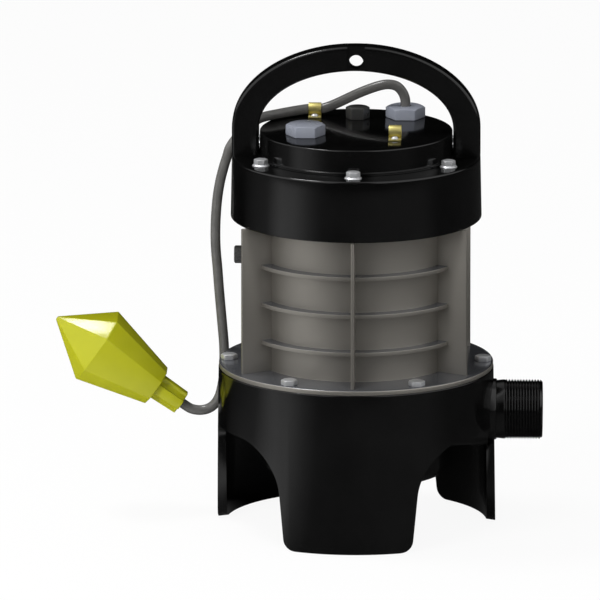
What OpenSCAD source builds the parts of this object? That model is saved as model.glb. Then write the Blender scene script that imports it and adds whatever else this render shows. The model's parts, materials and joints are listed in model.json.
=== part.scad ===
// Submersible drainage pump with a skirt base, a finned motor casing, a carry handle and a float switch.

/* [Base] */
// Radius of the skirt at the ground
skirt_r = 112.5; // [111:0.5:116]
// Amount by which the skirt narrows towards its top
skirt_taper = 1.7; // [0:0.1:3]
// Height of the base
base_h = 131; // [129:1:140]
// Wall of the skirt
skirt_wall = 5.6; // [4:0.2:7]
// Thickness of the deck that closes the top of the skirt
deck_t = 10; // [8:0.5:12]
// Turn of the three feet about the pump's axis
foot_turn = -2; // [-6:1:4]
// Height of the arches between the feet
arch_h = 85; // [70:1:88]
// Half the width of an arch at the ground
arch_half_w = 60.9; // [54:0.5:63]
// Lean of the arch sides, in degrees
arch_lean = 6; // [2:0.5:8]
// Corner radius of the open arch corners
arch_big_r = 44; // [30:1:46]
// Corner radius of the arch corners beside the two side feet
arch_small_r = 18; // [10:1:28]
// Rounding of the bottom corners of the feet
foot_round = 10; // [4:1:14]

/* [Pump chamber] */
// Outer radius of the volute housing
volute_r = 76.5; // [76:0.5:80]
// Height of the housing's underside
volute_z = 45; // [42:1:48]
// Thickness of the suction cover's flange
suction_flange_t = 6; // [5:0.5:8]
// Radius of the suction cover's plug
suction_plug_r = 53.9; // [52.5:0.1:54.5]
// Height of the seal plate between the volute chamber and the motor
seal_plate_h = 16; // [15:0.5:17]
// Height of the volute chamber
chamber_h = 40; // [38:0.5:42]
// Radius of the suction inlet at its mouth
inlet_mouth_r = 32; // [28:0.5:36]
// Radius of the suction inlet at its throat
inlet_throat_r = 22; // [19:0.5:25]
// Radius of the impeller
impeller_r = 51; // [46:0.5:52]
// Number of impeller blades
blade_count = 6; // [4:1:8]
// Thickness of an impeller blade
blade_t = 3.5; // [2.5:0.1:5]

/* [Discharge] */
// Distance from the pump's axis to the discharge end
outlet_end = 150.3; // [142:0.5:160]
// Radius over the discharge thread
thread_r = 23.9; // [22:0.1:24.2]
// Radius of the smooth collar behind the thread
collar_r = 24.6; // [24.3:0.1:25.5]
// Distance from the pump's axis to the start of the thread
thread_start = 119; // [116:0.5:124]
// Radius of the discharge bore
outlet_bore_r = 19; // [18.8:0.1:20]
// Radius of the bore through the volute housing
volute_bore_r = 18.4; // [17:0.1:18.6]

/* [Motor] */
// Inner radius of the motor casing
casing_r = 73; // [72.6:0.1:74]
// Wall of the motor casing
casing_wall = 5; // [4:0.2:6]
// Radius of the casing's bottom flange
flange_r = 110.5; // [110:0.1:111]
// Thickness of the bottom flange
flange_t = 4; // [3:0.5:5]
// Distance of the flange bolts from the flange's edge
flange_bolt_edge = 8.1; // [7.6:0.1:8.6]
// Radius reached by the upright fins
fin_r = 104.5; // [100:0.5:106]
// Thickness of a fin
fin_t = 3.2; // [2:0.2:5]
// Radius of the cooling rings
ring_r = 87.5; // [84:0.5:92]
// Thickness of a cooling ring
ring_t = 3.5; // [2.5:0.5:5]
// Height of the lowest cooling ring's top face above the flange
ring_first = 26.3; // [24:0.1:28]
// Spacing of the cooling rings
ring_pitch = 31; // [28:0.5:32]
// Height from the ground to the top of the fins
fin_top = 254.5; // [252:0.5:258]
// Number of slots in the stator
slot_count = 24; // [18:6:24]
// Number of bars in the rotor cage
bar_count = 18; // [12:1:20]
// Air gap between rotor and stator
air_gap = 0.4; // [0.3:0.1:0.8]

/* [Top] */
// Radius of the top cap at its lower rim
cap_r = 101; // [100.5:0.1:103]
// Height of the top cap
cap_h = 50; // [46:1:56]
// Wall of the top cap
cap_wall = 4; // [3:0.2:5]
// Thickness of the cap's top plate
cap_plate_t = 6; // [5:0.5:8]
// Radius of the circle of cap bolts
cap_pcd_r = 87; // [86:0.5:88]
// Radius of the terminal cover
cover_r = 77.5; // [77:0.5:78]
// Height of the terminal cover
cover_h = 20.5; // [18:0.5:24]
// Radius of the terminal cover's lip
lip_r = 79.6; // [78.5:0.1:79.8]
// Height of the terminal cover's lip
lip_h = 2.2; // [1.5:0.1:4]

/* [Handle] */
// Depth of the handle from front to back
handle_d = 17.4; // [14:0.2:20]
// Half the outer width of the handle
handle_outer_a = 100.3; // [98:0.1:100.6]
// Rise of the outer arch above the legs
handle_outer_b = 67.7; // [60:0.5:75]
// Half the inner width of the handle
handle_inner_a = 78.2; // [78:0.1:80]
// Rise of the inner arch above the legs
handle_inner_b = 47.4; // [44:0.5:52]
// Height of the straight legs
leg_h = 22.7; // [20:0.5:28]
// Radius of the lifting eye
eye_r = 5.75; // [4:0.25:6.5]
// Width of the recess round the lifting eye
eye_recess_w = 14.2; // [13.5:0.1:18]
// Depth of the recess round the lifting eye
eye_recess_d = 2.7; // [1:0.1:4]

/* [Float switch] */
// Diameter of the float cable
cable_d = 8; // [7:0.2:8]
// Distance from the pivot to the nose tip of the float
float_len = 127.5; // [120:0.5:135]
// Distance from the pivot to the widest section of the float
float_wide_s = 88; // [80:1:92]
// Width of the float across its wide faces
float_w = 58.5; // [54:0.5:62]
// Width of the float's cone at its narrow end
float_neck_w = 31; // [29:1:38]
// Length of the collet that grips the cable
collet_len = 24.5; // [20:0.5:26]

/* [Hidden] */
$fn = 96;

// Clearances
fit_gap = 0.05;
run_gap = 0.05;
cut = 1;

// The pump's axis stands to one side of the origin, which is the centre of the whole footprint
axis_x = (skirt_r - outlet_end) / 2;

// Heights that follow from the driving sizes
deck_z = base_h - deck_t;
skirt_top_r = skirt_r - skirt_taper;
flange_top = base_h + flange_t;
suction_top_z = volute_z + suction_flange_t;
chamber_top = base_h - seal_plate_h;
chamber_z = chamber_top - chamber_h;
outlet_z = chamber_z + chamber_h / 2;
flange_pcd_r = flange_r - flange_bolt_edge;
casing_out_r = casing_r + casing_wall;
cap_seat_z = fin_top + 10;
gasket_t = 1.5;
cap_top = fin_top + cap_h;
cap_plate_z = cap_top - cap_plate_t;
cap_in_r = cap_r - cap_wall;
cover_gasket_t = 0.8;
cover_gasket_r = cover_r - 0.5;
cover_in_r = cover_r - 5.5;
cap_hole_r = 58;
cover_pcd_r = cap_hole_r + 8;
cover_top = cap_top + cover_h;

// Chamber
suction_flange_r = 66;
suction_screw_r = 2.5;
suction_pcd_r = 60;
volute_start_r = 56;
volute_end_r = 70;
top_recess_r = 72;
seal_plate_t = 8;
outlet_boss_r = 30;
nipple_start = 94;
groove_r = flange_pcd_r - 8.4;
groove_w = 3.4;
groove_d = 3;
oring_r = 1.45;

// Bolts
flange_bolt_r = 4;
flange_bolt_depth = 8;
cap_bolt_r = 3;
cap_bolt_count = 6;
flange_bolt_count = 6;

// Shaft, from the impeller end upwards
shaft_tip_z = chamber_z - 1.5;
nut_z = chamber_z;
nut_h = 7;
washer_z = nut_z + nut_h;
washer_t = 1.5;
hub_z = washer_z + washer_t;
hub_h = 22;
hub_top = hub_z + hub_h;
hub_r = 14;
blade_z = chamber_z + 3;
backplate_z = hub_top - 6.5;
backplate_t = 5;
tip_shaft_r = 6;
impeller_shaft_r = 7;
seal_shaft_r = 8;
bearing_shaft_r = 10;
core_shaft_r = 12;
top_shaft_r = 7.5;
key_w = 4;

// Mechanical seal and bearings
seal_seat_h = 6;
seal_seat_z = chamber_top - 2;
seal_seat_r = 15;
oil_seal_r = 18;
oil_seal_h = 7;
plate_t = 8;
plate_hub_r = 34;
low_bearing_z = base_h + 11;
low_bearing_h = 14;
low_bearing_r = 23.5;
high_bearing_h = 11;
high_bearing_r = 17.5;

// Electric part
core_z = base_h + 34;
head_room = 19;
bracket_z = fin_top + 2;
high_bearing_z = bracket_z - 10.5;
core_top = high_bearing_z - head_room;
core_h = core_top - core_z;
rotor_r = 39.6;
stator_in_r = rotor_r + air_gap;
stator_r = casing_r - fit_gap;
slot_in_r = 43;
slot_out_r = 62;
winding_h = 12;
bracket_t = 6.5;
bracket_r = 80;
bracket_pcd_r = casing_r + casing_wall / 2;
bar_r = 2.2;
bar_pcd_r = 34;

// Fill plug on the casing's left side
plug_z = fin_top - 33;
plug_boss_r = 9;
plug_boss_end = 89.5;
plug_washer_t = 1.4;
plug_end = 98.2;
plug_af = 13;
plug_shank_r = 5;

// Handle
leg_x = (handle_outer_a + handle_inner_a) / 2;
arch_z = cap_top + leg_h;
eye_z = arch_z + 54.8;
handle_screw_r = 4;
handle_seam_x = 24;

// Fittings on the terminal cover
gland_af = 28;
gland_h = 9.5;
float_gland = [38.4, 47.1];
mains_gland = [-40.2, -19.8];
bush_r = 9.4;
test_plug_at = [0, 43];
test_plug_af = 17;
clip_loop_r = 5.2;
clip_t = 1.1;
clip_w = 10.2;
clip_reach = 9.2;
clip_rear = [-34.7, 52.2];
clip_front = [32.1, -28.4];

// Float
pivot = [-138.4, 43, 85.3];
float_rise = 35;
float_yaw = 1.7;
float_roll = -3;
collet_start = 5;
collet_end = collet_start + collet_len;
float_wall = 2.5;
float_joint = 0.05;
collet_r = 11.5;
lead_start = cable_d / 2 + 0.3;
lead_len = 33.9;

// Route of the float cable, from inside the gland to the pivot
cable_route = [
    [38.4, 47.1, 328], [38.4, 47.1, 335], [38, 47.2, 340.5], [35.5, 47.5, 346.2],
    [31, 48, 350.4], [24.5, 48.5, 351.6], [17.5, 49, 350.4], [8, 49.8, 347],
    [-1, 50.6, 343], [-9, 51.3, 339], [-17, 51.8, 335], [-24, 52.1, 332],
    [-30, 52.2, 330.3], [-39, 52.2, 330.2], [-45, 50.5, 329.8], [-52, 46.5, 329.5],
    [-59, 40.8, 329.4], [-66, 34.2, 329.4], [-72.5, 28, 329.4], [-79, 23.5, 328.2],
    [-86, 20.5, 324.2], [-93, 19, 317.5], [-99, 18.4, 310.5], [-102.6, 18.4, 304.5],
    [-104.5, 18.8, 298], [-107, 19, 290], [-110, 19.6, 278], [-112.3, 21, 264],
    [-113.7, 23.1, 248], [-114.2, 24.8, 232], [-113.8, 26.4, 218], [-112.7, 28.8, 204],
    [-111.8, 31.2, 190], [-110.8, 33.7, 176], [-109.8, 36.2, 163], [-108.8, 38.8, 150],
    [-108, 42, 138], [-107.8, 44, 128], [-108, 44.2, 118], [-108.6, 44.2, 108],
    [-110, 44, 99.5], [-112.2, 43.6, 92.4], [-115.8, 43.2, 86.8], [-120.6, 43, 83.4],
    [-126, 43, 82], [-131, 43, 82.2], [-135, 43, 83.3], [-138.4, 43, 85.3]
];

// Helpers

function arc(c, r, from, to, n) =
    [for (i = [0:n]) let (a = from + (to - from) * i / n) c + r * [cos(a), sin(a)]];

function polar(r, a) = [r * cos(a), r * sin(a)];

function mirrored(points) = [for (i = [len(points) - 1:-1:0]) [-points[i].x, points[i].y]];

module about_axis() translate([axis_x, 0, 0]) children();

// Places its children on a circle: 0 is the front, and positive angles turn towards the discharge
module at(angle, radius) rotate([0, 0, angle]) translate([0, -radius, 0]) children();

module ring_of(count, radius, first = 0)
    for (i = [0:count - 1]) at(first + i * 360 / count, radius) children();

module rise(z) translate([0, 0, z]) children();

module pipe(h, r_out, r_in) difference() {
    cylinder(h = h, r = r_out);
    rise(-cut) cylinder(h = h + 2 * cut, r = r_in);
}

module hex(h, af) cylinder(h = h, r = af / 2 / cos(30), $fn = 6);

// Hexagon with a chamfered top
module hex_head(h, af, chamfer = 1.2) intersection() {
    hex(h, af);
    rotate_extrude() polygon([
        [0, 0], [af / 2 / cos(30) + 0.1, 0], [af / 2 / cos(30) + 0.1, h - chamfer],
        [af / 2 - 0.4, h], [0, h]
    ]);
}

// One side of an arch outline, from the ground to the middle of its top
function arch_side(corner_r) = let (
    foot_x = arch_half_w + foot_round * (1 - sin(arch_lean)) / cos(arch_lean),
    top_x = arch_half_w - (corner_r + (arch_h - corner_r) * sin(arch_lean)) / cos(arch_lean)
) concat(
    [[foot_x, -cut]],
    arc([foot_x, foot_round], foot_round, 270, 180 + arch_lean, 6),
    arc([top_x, arch_h - corner_r], corner_r, arch_lean, 90, corner_r > 30 ? 14 : 8)
);

// Outline of an arch whose left and right corners have their own radii
module arch_cut(angle, left_r, right_r) rotate([0, 0, angle + foot_turn]) rotate([90, 0, 0])
    rise(skirt_r * 0.6)
        linear_extrude(height = skirt_r) polygon(concat(arch_side(right_r), mirrored(arch_side(left_r))));

// Volute chamber: its radius grows steadily round to the discharge
function volute_points() = [for (a = [0:10:350])
    polar(volute_start_r + (volute_end_r - volute_start_r) * a / 350, 20 + a)];

module skirt_shell() difference() {
    cylinder(h = base_h, r1 = skirt_r, r2 = skirt_top_r);
    rise(-cut) cylinder(h = deck_z + cut, r = skirt_top_r - skirt_wall);
    arch_cut(-60, arch_small_r, arch_big_r);
    arch_cut(60, arch_big_r, arch_small_r);
    arch_cut(180, arch_big_r, arch_big_r);
}

module volute_housing() rotate_extrude() polygon(concat(
    [[0, volute_z], [volute_r - 8, volute_z]],
    arc([volute_r - 8, volute_z + 8], 8, 270, 360, 6),
    [[volute_r, deck_z + cut], [0, deck_z + cut]]
));

module outlet_boss() intersection() {
    translate([volute_r - 16, 0, outlet_z]) rotate([0, 90, 0]) cylinder(h = skirt_r, r = outlet_boss_r);
    cylinder(h = base_h, r = skirt_top_r - 2);
}

module pump_base() color("#1a1a1c") about_axis() difference() {
    union() {
        skirt_shell();
        volute_housing();
        outlet_boss();
    }
    rise(chamber_z) linear_extrude(height = chamber_h + cut) polygon(volute_points());
    rise(suction_top_z - cut) cylinder(h = chamber_z - suction_top_z + 2 * cut, r = suction_plug_r + fit_gap);
    rise(volute_z - cut) cylinder(h = suction_flange_t + cut, r = suction_flange_r + fit_gap);
    rise(chamber_top) cylinder(h = base_h, r = top_recess_r);
    translate([volute_start_r - 6, 0, outlet_z]) rotate([0, 90, 0]) cylinder(h = skirt_r, r = volute_bore_r);
    translate([nipple_start, 0, outlet_z]) rotate([0, 90, 0]) cylinder(h = skirt_r, r = collar_r + fit_gap);
    rise(base_h - groove_d) pipe(groove_d + cut, groove_r + groove_w / 2, groove_r - groove_w / 2);
    ring_of(flange_bolt_count, flange_pcd_r, 30) rise(base_h - flange_bolt_depth - 1)
        cylinder(h = flange_bolt_depth + 2 * cut, r = flange_bolt_r + fit_gap);
    ring_of(4, suction_pcd_r, 45) rise(suction_top_z - cut) cylinder(h = 13, r = suction_screw_r + fit_gap);
}

module suction_cover() color("#2a2a2c") about_axis() difference() {
    union() {
        rise(volute_z) cylinder(h = suction_flange_t, r = suction_flange_r);
        rise(suction_top_z) cylinder(h = chamber_z - suction_top_z - 1, r = suction_plug_r);
    }
    rise(volute_z) cylinder(h = chamber_z - volute_z - 1, r1 = inlet_mouth_r, r2 = inlet_throat_r);
    rise(volute_z - cut) cylinder(h = cut + 0.01, r = inlet_mouth_r);
    rise(chamber_z - 1.01) cylinder(h = 2 * cut, r = inlet_throat_r);
    ring_of(4, suction_pcd_r, 45) rise(volute_z - cut)
        cylinder(h = suction_flange_t + 2 * cut, r = suction_screw_r + 0.3);
}

module suction_cover_screws() color("#b9bcc0") about_axis() ring_of(4, suction_pcd_r, 45) {
    rise(volute_z - 3) difference() {
        cylinder(h = 3, r = 4.6);
        rise(-cut) hex(cut + 2, 4);
    }
    rise(volute_z) cylinder(h = 16, r = suction_screw_r);
}

module discharge_nipple() color("#242426") about_axis() translate([0, 0, outlet_z]) rotate([0, 90, 0])
    difference() {
        union() {
            rise(nipple_start) cylinder(h = thread_start - nipple_start, r = collar_r);
            rise(thread_start) cylinder(h = outlet_end - thread_start, r = thread_r);
        }
        rise(nipple_start - cut) cylinder(h = outlet_end, r = outlet_bore_r);
    }

module seal_plate() color("#8f9296") about_axis() rise(chamber_top) difference() {
    cylinder(h = base_h - chamber_top, r = top_recess_r - fit_gap * 2);
    rise(seal_plate_t) cylinder(h = base_h, r = top_recess_r - 6);
    rise(-cut) cylinder(h = 5, r = seal_seat_r + fit_gap);
    rise(-cut) cylinder(h = seal_plate_t + 2 * cut, r = seal_shaft_r + 1);
}

module seal_seat() color("#d8d8d2") about_axis()
    rise(seal_seat_z) pipe(seal_seat_h, seal_seat_r, seal_shaft_r + 0.3);

module seal_rotor() color("#3a3a3a") about_axis() rise(hub_top + 0.2) difference() {
    union() {
        cylinder(h = seal_seat_z - hub_top - 0.2 - run_gap, r = 12.5);
        cylinder(h = 3, r = hub_r);
    }
    rise(-cut) cylinder(h = 12, r = seal_shaft_r + 0.02);
}

module bearing_plate() color("#9a9da1") about_axis() difference() {
    union() {
        rise(base_h) cylinder(h = plate_t, r = casing_r - 0.1);
        rise(base_h) cylinder(h = low_bearing_z + low_bearing_h + 2 - base_h, r = plate_hub_r);
        for (i = [0:5]) rotate([0, 0, i * 60]) translate([plate_hub_r - 2, -2, base_h])
            cube([28, 4, 15]);
    }
    rise(base_h - cut) cylinder(h = oil_seal_h + 1 + cut, r = oil_seal_r + fit_gap);
    rise(base_h) cylinder(h = low_bearing_z - base_h + cut, r = bearing_shaft_r + 1.5);
    rise(low_bearing_z) cylinder(h = low_bearing_h + 2 + cut, r = low_bearing_r + 0.02);
}

module oil_seal() color("#30302e") about_axis()
    rise(base_h + 1) pipe(oil_seal_h, oil_seal_r, bearing_shaft_r + run_gap);

// Rings of a ball bearing, with the ball groove turned into both
module bearing_outer(z, h, r_out, shaft_r) rise(z) difference() {
    pipe(h, r_out, r_out - (r_out - shaft_r) * 0.3);
    rise(h / 2) ball_groove((r_out + shaft_r) / 2, (r_out - shaft_r) * 0.3);
}

module bearing_inner(z, h, r_out, shaft_r) rise(z) difference() {
    pipe(h, shaft_r + (r_out - shaft_r) * 0.3, shaft_r + 0.02);
    rise(h / 2) ball_groove((r_out + shaft_r) / 2, (r_out - shaft_r) * 0.3);
}

module ball_groove(pitch_r, ball_r) rotate_extrude() translate([pitch_r, 0]) circle(r = ball_r);

// Balls in a crown cage: a ring above them with a prong between each two
module bearing_balls(z, h, r_out, shaft_r, count) rise(z + h / 2) {
    pitch_r = (r_out + shaft_r) / 2;
    ball_r = (r_out - shaft_r) * 0.3 - 0.08;
    ring_of(count, pitch_r) sphere(r = ball_r);
    rise(ball_r + 0.15) pipe(1.4, pitch_r + 1.6, pitch_r - 1.6);
    ring_of(count, pitch_r, 180 / count) rise(-1) cylinder(h = ball_r + 2, r = 1.5);
}

module lower_bearing_outer() color("#c4c6c8") about_axis()
    bearing_outer(low_bearing_z, low_bearing_h, low_bearing_r, bearing_shaft_r);

module lower_bearing_inner() color("#c4c6c8") about_axis()
    bearing_inner(low_bearing_z, low_bearing_h, low_bearing_r, bearing_shaft_r);

module lower_bearing_balls() color("#b8a060") about_axis()
    bearing_balls(low_bearing_z, low_bearing_h, low_bearing_r, bearing_shaft_r, 8);

module base_gasket() color("#202020") about_axis()
    rise(base_h - groove_d + oring_r) rotate_extrude() translate([groove_r, 0]) circle(r = oring_r);

module motor_casing() color("#8a8987") about_axis() difference() {
    union() {
        rise(base_h) cylinder(h = cap_seat_z - base_h, r = casing_out_r);
        rise(base_h) cylinder(h = flange_t, r = flange_r);
        rise(fin_top) cylinder(h = cap_seat_z - fin_top, r = cap_in_r - 0.5);
        at(-90, 0) rise(plug_z) rotate([90, 0, 0]) cylinder(h = plug_boss_end, r = plug_boss_r);
    }
    rise(base_h - cut) cylinder(h = cap_seat_z, r = casing_r);
    rise(bracket_z) cylinder(h = cap_seat_z, r = bracket_r);
    ring_of(flange_bolt_count, flange_pcd_r, 30) rise(base_h - cut)
        cylinder(h = flange_t + 2 * cut, r = flange_bolt_r + 0.4);
    ring_of(cap_bolt_count, cap_pcd_r) rise(fin_top + 1) cylinder(h = 12, r = cap_bolt_r + fit_gap);
    ring_of(4, bracket_pcd_r, 45) rise(bracket_z - 11) cylinder(h = 12, r = 1.75);
    at(-90, 0) rise(plug_z) rotate([90, 0, 0]) rise(casing_out_r)
        cylinder(h = 20, r = plug_shank_r + fit_gap);
}

module ring_places() for (i = [0:2]) rise(flange_top + ring_first - ring_t + i * ring_pitch) children();

// Rings round the casing, let in where the plug's boss passes
module cooling_rings() color("#8a8987") about_axis() difference() {
    ring_places() pipe(ring_t, ring_r, casing_out_r + fit_gap);
    at(-90, 0) rise(plug_z) rotate([90, 0, 0]) cylinder(h = plug_boss_end + 1, r = plug_boss_r + fit_gap);
}

// Upright fins, notched where the rings pass
module cooling_fins() color("#8a8987") about_axis() difference() {
    ring_of(6, fin_r) translate([-fin_t / 2, 0, flange_top])
        cube([fin_t, fin_r - casing_out_r - fit_gap, fin_top - flange_top]);
    ring_places() rise(-fit_gap) cylinder(h = ring_t + 2 * fit_gap, r = ring_r + fit_gap);
}

module flange_bolts() color("#c9cbce") about_axis() ring_of(flange_bolt_count, flange_pcd_r, 30) {
    rise(flange_top) hex_head(5.3, 13);
    rise(base_h - flange_bolt_depth) cylinder(h = flange_bolt_depth + flange_t, r = flange_bolt_r);
}

module casing_fill_plug() color("#7c7f8c") about_axis() at(-90, 0) rise(plug_z) rotate([90, 0, 0]) {
    rise(plug_boss_end + plug_washer_t) hex_head(plug_end - plug_boss_end - plug_washer_t, plug_af);
    rise(casing_out_r + 1) cylinder(h = plug_boss_end + plug_washer_t - casing_out_r - 1, r = plug_shank_r);
}

module fill_plug_washer() color("#c8b95a") about_axis() at(-90, 0) rise(plug_z) rotate([90, 0, 0])
    rise(plug_boss_end) pipe(plug_washer_t, plug_boss_r - 0.6, plug_shank_r + fit_gap);

// One slot of the stator: a narrow mouth that widens into a rounded pocket
module slot_shape(gap) {
    neck = 1.2 - gap;
    inner = PI * slot_in_r / slot_count * 0.55 - gap;
    outer = PI * slot_out_r / slot_count * 0.55 - gap;
    polygon(concat(
        [[-inner, slot_in_r + 3 + gap], [-inner, slot_in_r + 3 + gap]],
        [[-neck, slot_in_r + gap], [neck, slot_in_r + gap], [inner, slot_in_r + 3 + gap]],
        arc([0, slot_out_r - gap], outer, 0, 180, 8)
    ));
}

module stator_core() color("#6f7277") about_axis() rise(core_z) linear_extrude(height = core_h) difference() {
    circle(r = stator_r);
    circle(r = stator_in_r);
    for (i = [0:slot_count - 1]) rotate(i * 360 / slot_count) {
        slot_shape(0);
        translate([-0.9, stator_in_r - 1]) square([1.8, slot_in_r - stator_in_r + 2]);
    }
}

module stator_windings() color("#b06a35") about_axis() {
    rise(core_z - winding_h) winding_head();
    rise(core_top) winding_head();
    rise(core_z - 1) linear_extrude(height = core_h + 2)
        for (i = [0:slot_count - 1]) rotate(i * 360 / slot_count) slot_shape(0.15);
}

module winding_head() rotate_extrude() polygon(concat(
    arc([slot_in_r + 6, 4], 4, 180, 270, 4), arc([slot_out_r + 2, 4], 4, 270, 360, 4),
    arc([slot_out_r + 2, winding_h - 4], 4, 0, 90, 4), arc([slot_in_r + 6, winding_h - 4], 4, 90, 180, 4)
));

module rotor_core() color("#85888c") about_axis() rise(core_z) difference() {
    pipe(core_h, rotor_r, core_shaft_r + 0.02);
    ring_of(bar_count, bar_pcd_r) rise(-cut) cylinder(h = core_h + 2 * cut, r = bar_r + fit_gap);
}

module rotor_cage() color("#b4b7ba") about_axis() {
    rise(core_z - 6) pipe(6, rotor_r - 1, bar_pcd_r - 8);
    rise(core_top) pipe(6, rotor_r - 1, bar_pcd_r - 8);
    rise(core_z - cut) ring_of(bar_count, bar_pcd_r) cylinder(h = core_h + 2 * cut, r = bar_r);
}

module motor_shaft() color("#bfc1c4") about_axis() difference() {
    rotate_extrude() polygon([
        [0, shaft_tip_z], [tip_shaft_r - 1, shaft_tip_z], [tip_shaft_r, shaft_tip_z + 1],
        [tip_shaft_r, hub_z], [impeller_shaft_r, hub_z],
        [impeller_shaft_r, hub_top], [seal_shaft_r, hub_top],
        [seal_shaft_r, base_h - 4], [bearing_shaft_r, base_h - 2],
        [bearing_shaft_r, low_bearing_z + low_bearing_h],
        [core_shaft_r, low_bearing_z + low_bearing_h],
        [core_shaft_r, core_top + 8], [top_shaft_r + 1.5, core_top + 8],
        [top_shaft_r + 1.5, high_bearing_z], [top_shaft_r, high_bearing_z],
        [top_shaft_r, high_bearing_z + high_bearing_h + 0.5], [top_shaft_r - 1, high_bearing_z + high_bearing_h + 1],
        [0, high_bearing_z + high_bearing_h + 1]
    ]);
    translate([-key_w / 2, impeller_shaft_r - 2, hub_z + 2]) cube([key_w, 4, hub_h - 5]);
}

module upper_bearing_bracket() color("#9a9da1") about_axis() difference() {
    union() {
        rise(bracket_z) cylinder(h = bracket_t, r = bracket_r - 0.1);
        rise(high_bearing_z - 1) cylinder(h = 12, r = high_bearing_r + 5);
    }
    rise(high_bearing_z - 2) cylinder(h = high_bearing_h + 2, r = high_bearing_r + 0.02);
    rise(high_bearing_z) cylinder(h = high_bearing_h + 2.5, r = top_shaft_r + 1);
    ring_of(4, bracket_pcd_r, 45) rise(bracket_z - cut) cylinder(h = bracket_t + 2 * cut, r = 2);
    // Openings for the motor leads
    ring_of(3, 48, 30) rise(bracket_z - cut) cylinder(h = bracket_t + 2 * cut, r = 12);
}

module upper_bearing_outer() color("#c4c6c8") about_axis()
    bearing_outer(high_bearing_z, high_bearing_h, high_bearing_r, top_shaft_r);

module upper_bearing_inner() color("#c4c6c8") about_axis()
    bearing_inner(high_bearing_z, high_bearing_h, high_bearing_r, top_shaft_r);

module upper_bearing_balls() color("#b8a060") about_axis()
    bearing_balls(high_bearing_z, high_bearing_h, high_bearing_r, top_shaft_r, 7);

module bracket_screws() color("#b9bcc0") about_axis() ring_of(4, bracket_pcd_r, 45) {
    rise(bracket_z + bracket_t) cylinder(h = 2.4, r = 3.2);
    rise(bracket_z - 9) cylinder(h = 9 + bracket_t, r = 1.7);
}

// One blade: its centre line sweeps back as its radius grows
module blade() {
    steps = 9;
    sweep = 75;
    root_r = hub_r - 2;
    function side(offset) = [for (i = [0:steps])
        let (r = root_r + (impeller_r - root_r) * i / steps)
        polar(r, -sweep * i / steps + offset * blade_t / 2 / r * 180 / PI)];
    inner = side(-1);
    outer = side(1);
    polygon(concat(inner, [for (i = [steps:-1:0]) outer[i]]));
}

module impeller() color("#2b2b2e") about_axis() difference() {
    union() {
        rise(hub_z) cylinder(h = hub_h, r = hub_r);
        rise(backplate_z) cylinder(h = backplate_t, r = impeller_r + 1);
        rise(blade_z) linear_extrude(height = backplate_z - blade_z + 0.5)
            for (i = [0:blade_count - 1]) rotate(i * 360 / blade_count) blade();
    }
    rise(blade_z - cut) cylinder(h = hub_z - blade_z + cut, r = hub_r);
    rise(hub_z - cut) cylinder(h = hub_h + 2 * cut, r = impeller_shaft_r + 0.02);
    translate([-key_w / 2 - 0.02, 0, hub_z + 1.9]) cube([key_w + 0.04, impeller_shaft_r + 2.1, hub_h]);
}

module impeller_washer() color("#b9bcc0") about_axis() rise(washer_z) pipe(washer_t, 11, tip_shaft_r + 0.1);

module impeller_nut() color("#c9cbce") about_axis() rise(nut_z) difference() {
    hex_head(nut_h, 22);
    rise(-cut) cylinder(h = nut_h + 2 * cut, r = tip_shaft_r + 0.02);
}

module impeller_key() color("#9a9da1") about_axis()
    translate([-key_w / 2 + 0.01, impeller_shaft_r - 2 + 0.01, hub_z + 2.05]) cube([key_w - 0.02, 4, hub_h - 5.1]);

module cap_gasket() color("#202020") about_axis() rise(cap_seat_z) difference() {
    pipe(gasket_t, cap_in_r - 1, bracket_r + 0.5);
    ring_of(cap_bolt_count, cap_pcd_r) rise(-cut) cylinder(h = gasket_t + 2 * cut, r = cap_bolt_r + 0.3);
}

module top_cap() color("#1a1a1c") about_axis() difference() {
    union() {
        difference() {
            rise(fin_top) rotate_extrude() polygon(concat(
                [[0, 0], [cap_r, 0], [cap_r - 1, cap_h - 1.5]],
                arc([cap_r - 2.5, cap_h - 1.5], 1.5, 0, 90, 4),
                [[0, cap_h]]
            ));
            rise(fin_top - cut) cylinder(h = cap_h - cap_plate_t + cut, r = cap_in_r);
        }
        ring_of(cap_bolt_count, cap_pcd_r) rise(cap_seat_z + gasket_t)
            cylinder(h = cap_plate_z - cap_seat_z - gasket_t + cut, r = 7);
        for (side = [-1, 1]) translate([side * leg_x, 0, cap_plate_z - 8]) intersection() {
            cylinder(h = 9, r = 10);
            translate([-side * leg_x, 0, 0]) cylinder(h = 9, r = cap_r - 2);
        }
    }
    rise(cap_plate_z - cut) cylinder(h = cap_plate_t + 2 * cut, r = cap_hole_r);
    ring_of(cap_bolt_count, cap_pcd_r) rise(fin_top) cylinder(h = cap_h + cut, r = cap_bolt_r + 0.3);
    for (side = [-1, 1]) translate([side * leg_x, 0, cap_plate_z - 9])
        cylinder(h = cap_plate_t + 10, r = handle_screw_r + 0.3);
    ring_of(4, cover_pcd_r) rise(cap_plate_z - cut) cylinder(h = cap_plate_t + 2 * cut, r = 2.8);
}

module cap_bolts() color("#b4b6ba") about_axis() ring_of(cap_bolt_count, cap_pcd_r) {
    rise(cap_top) cylinder(h = 1.5, r = 7);
    rise(cap_top + 1.5) hex_head(5.5, 10);
    rise(fin_top + 3) cylinder(h = cap_top - fin_top - 3, r = cap_bolt_r);
}

module start_capacitor() color("#d8d8d2") about_axis() translate([-34, 28, bracket_z + bracket_t + 14.5])
    rotate([0, 90, 0]) {
        cylinder(h = 62, r = 14.5);
        rise(62) for (y = [-5, 5]) translate([-1, y - 2.5, 0]) cube([1, 5, 8]);
    }

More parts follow.
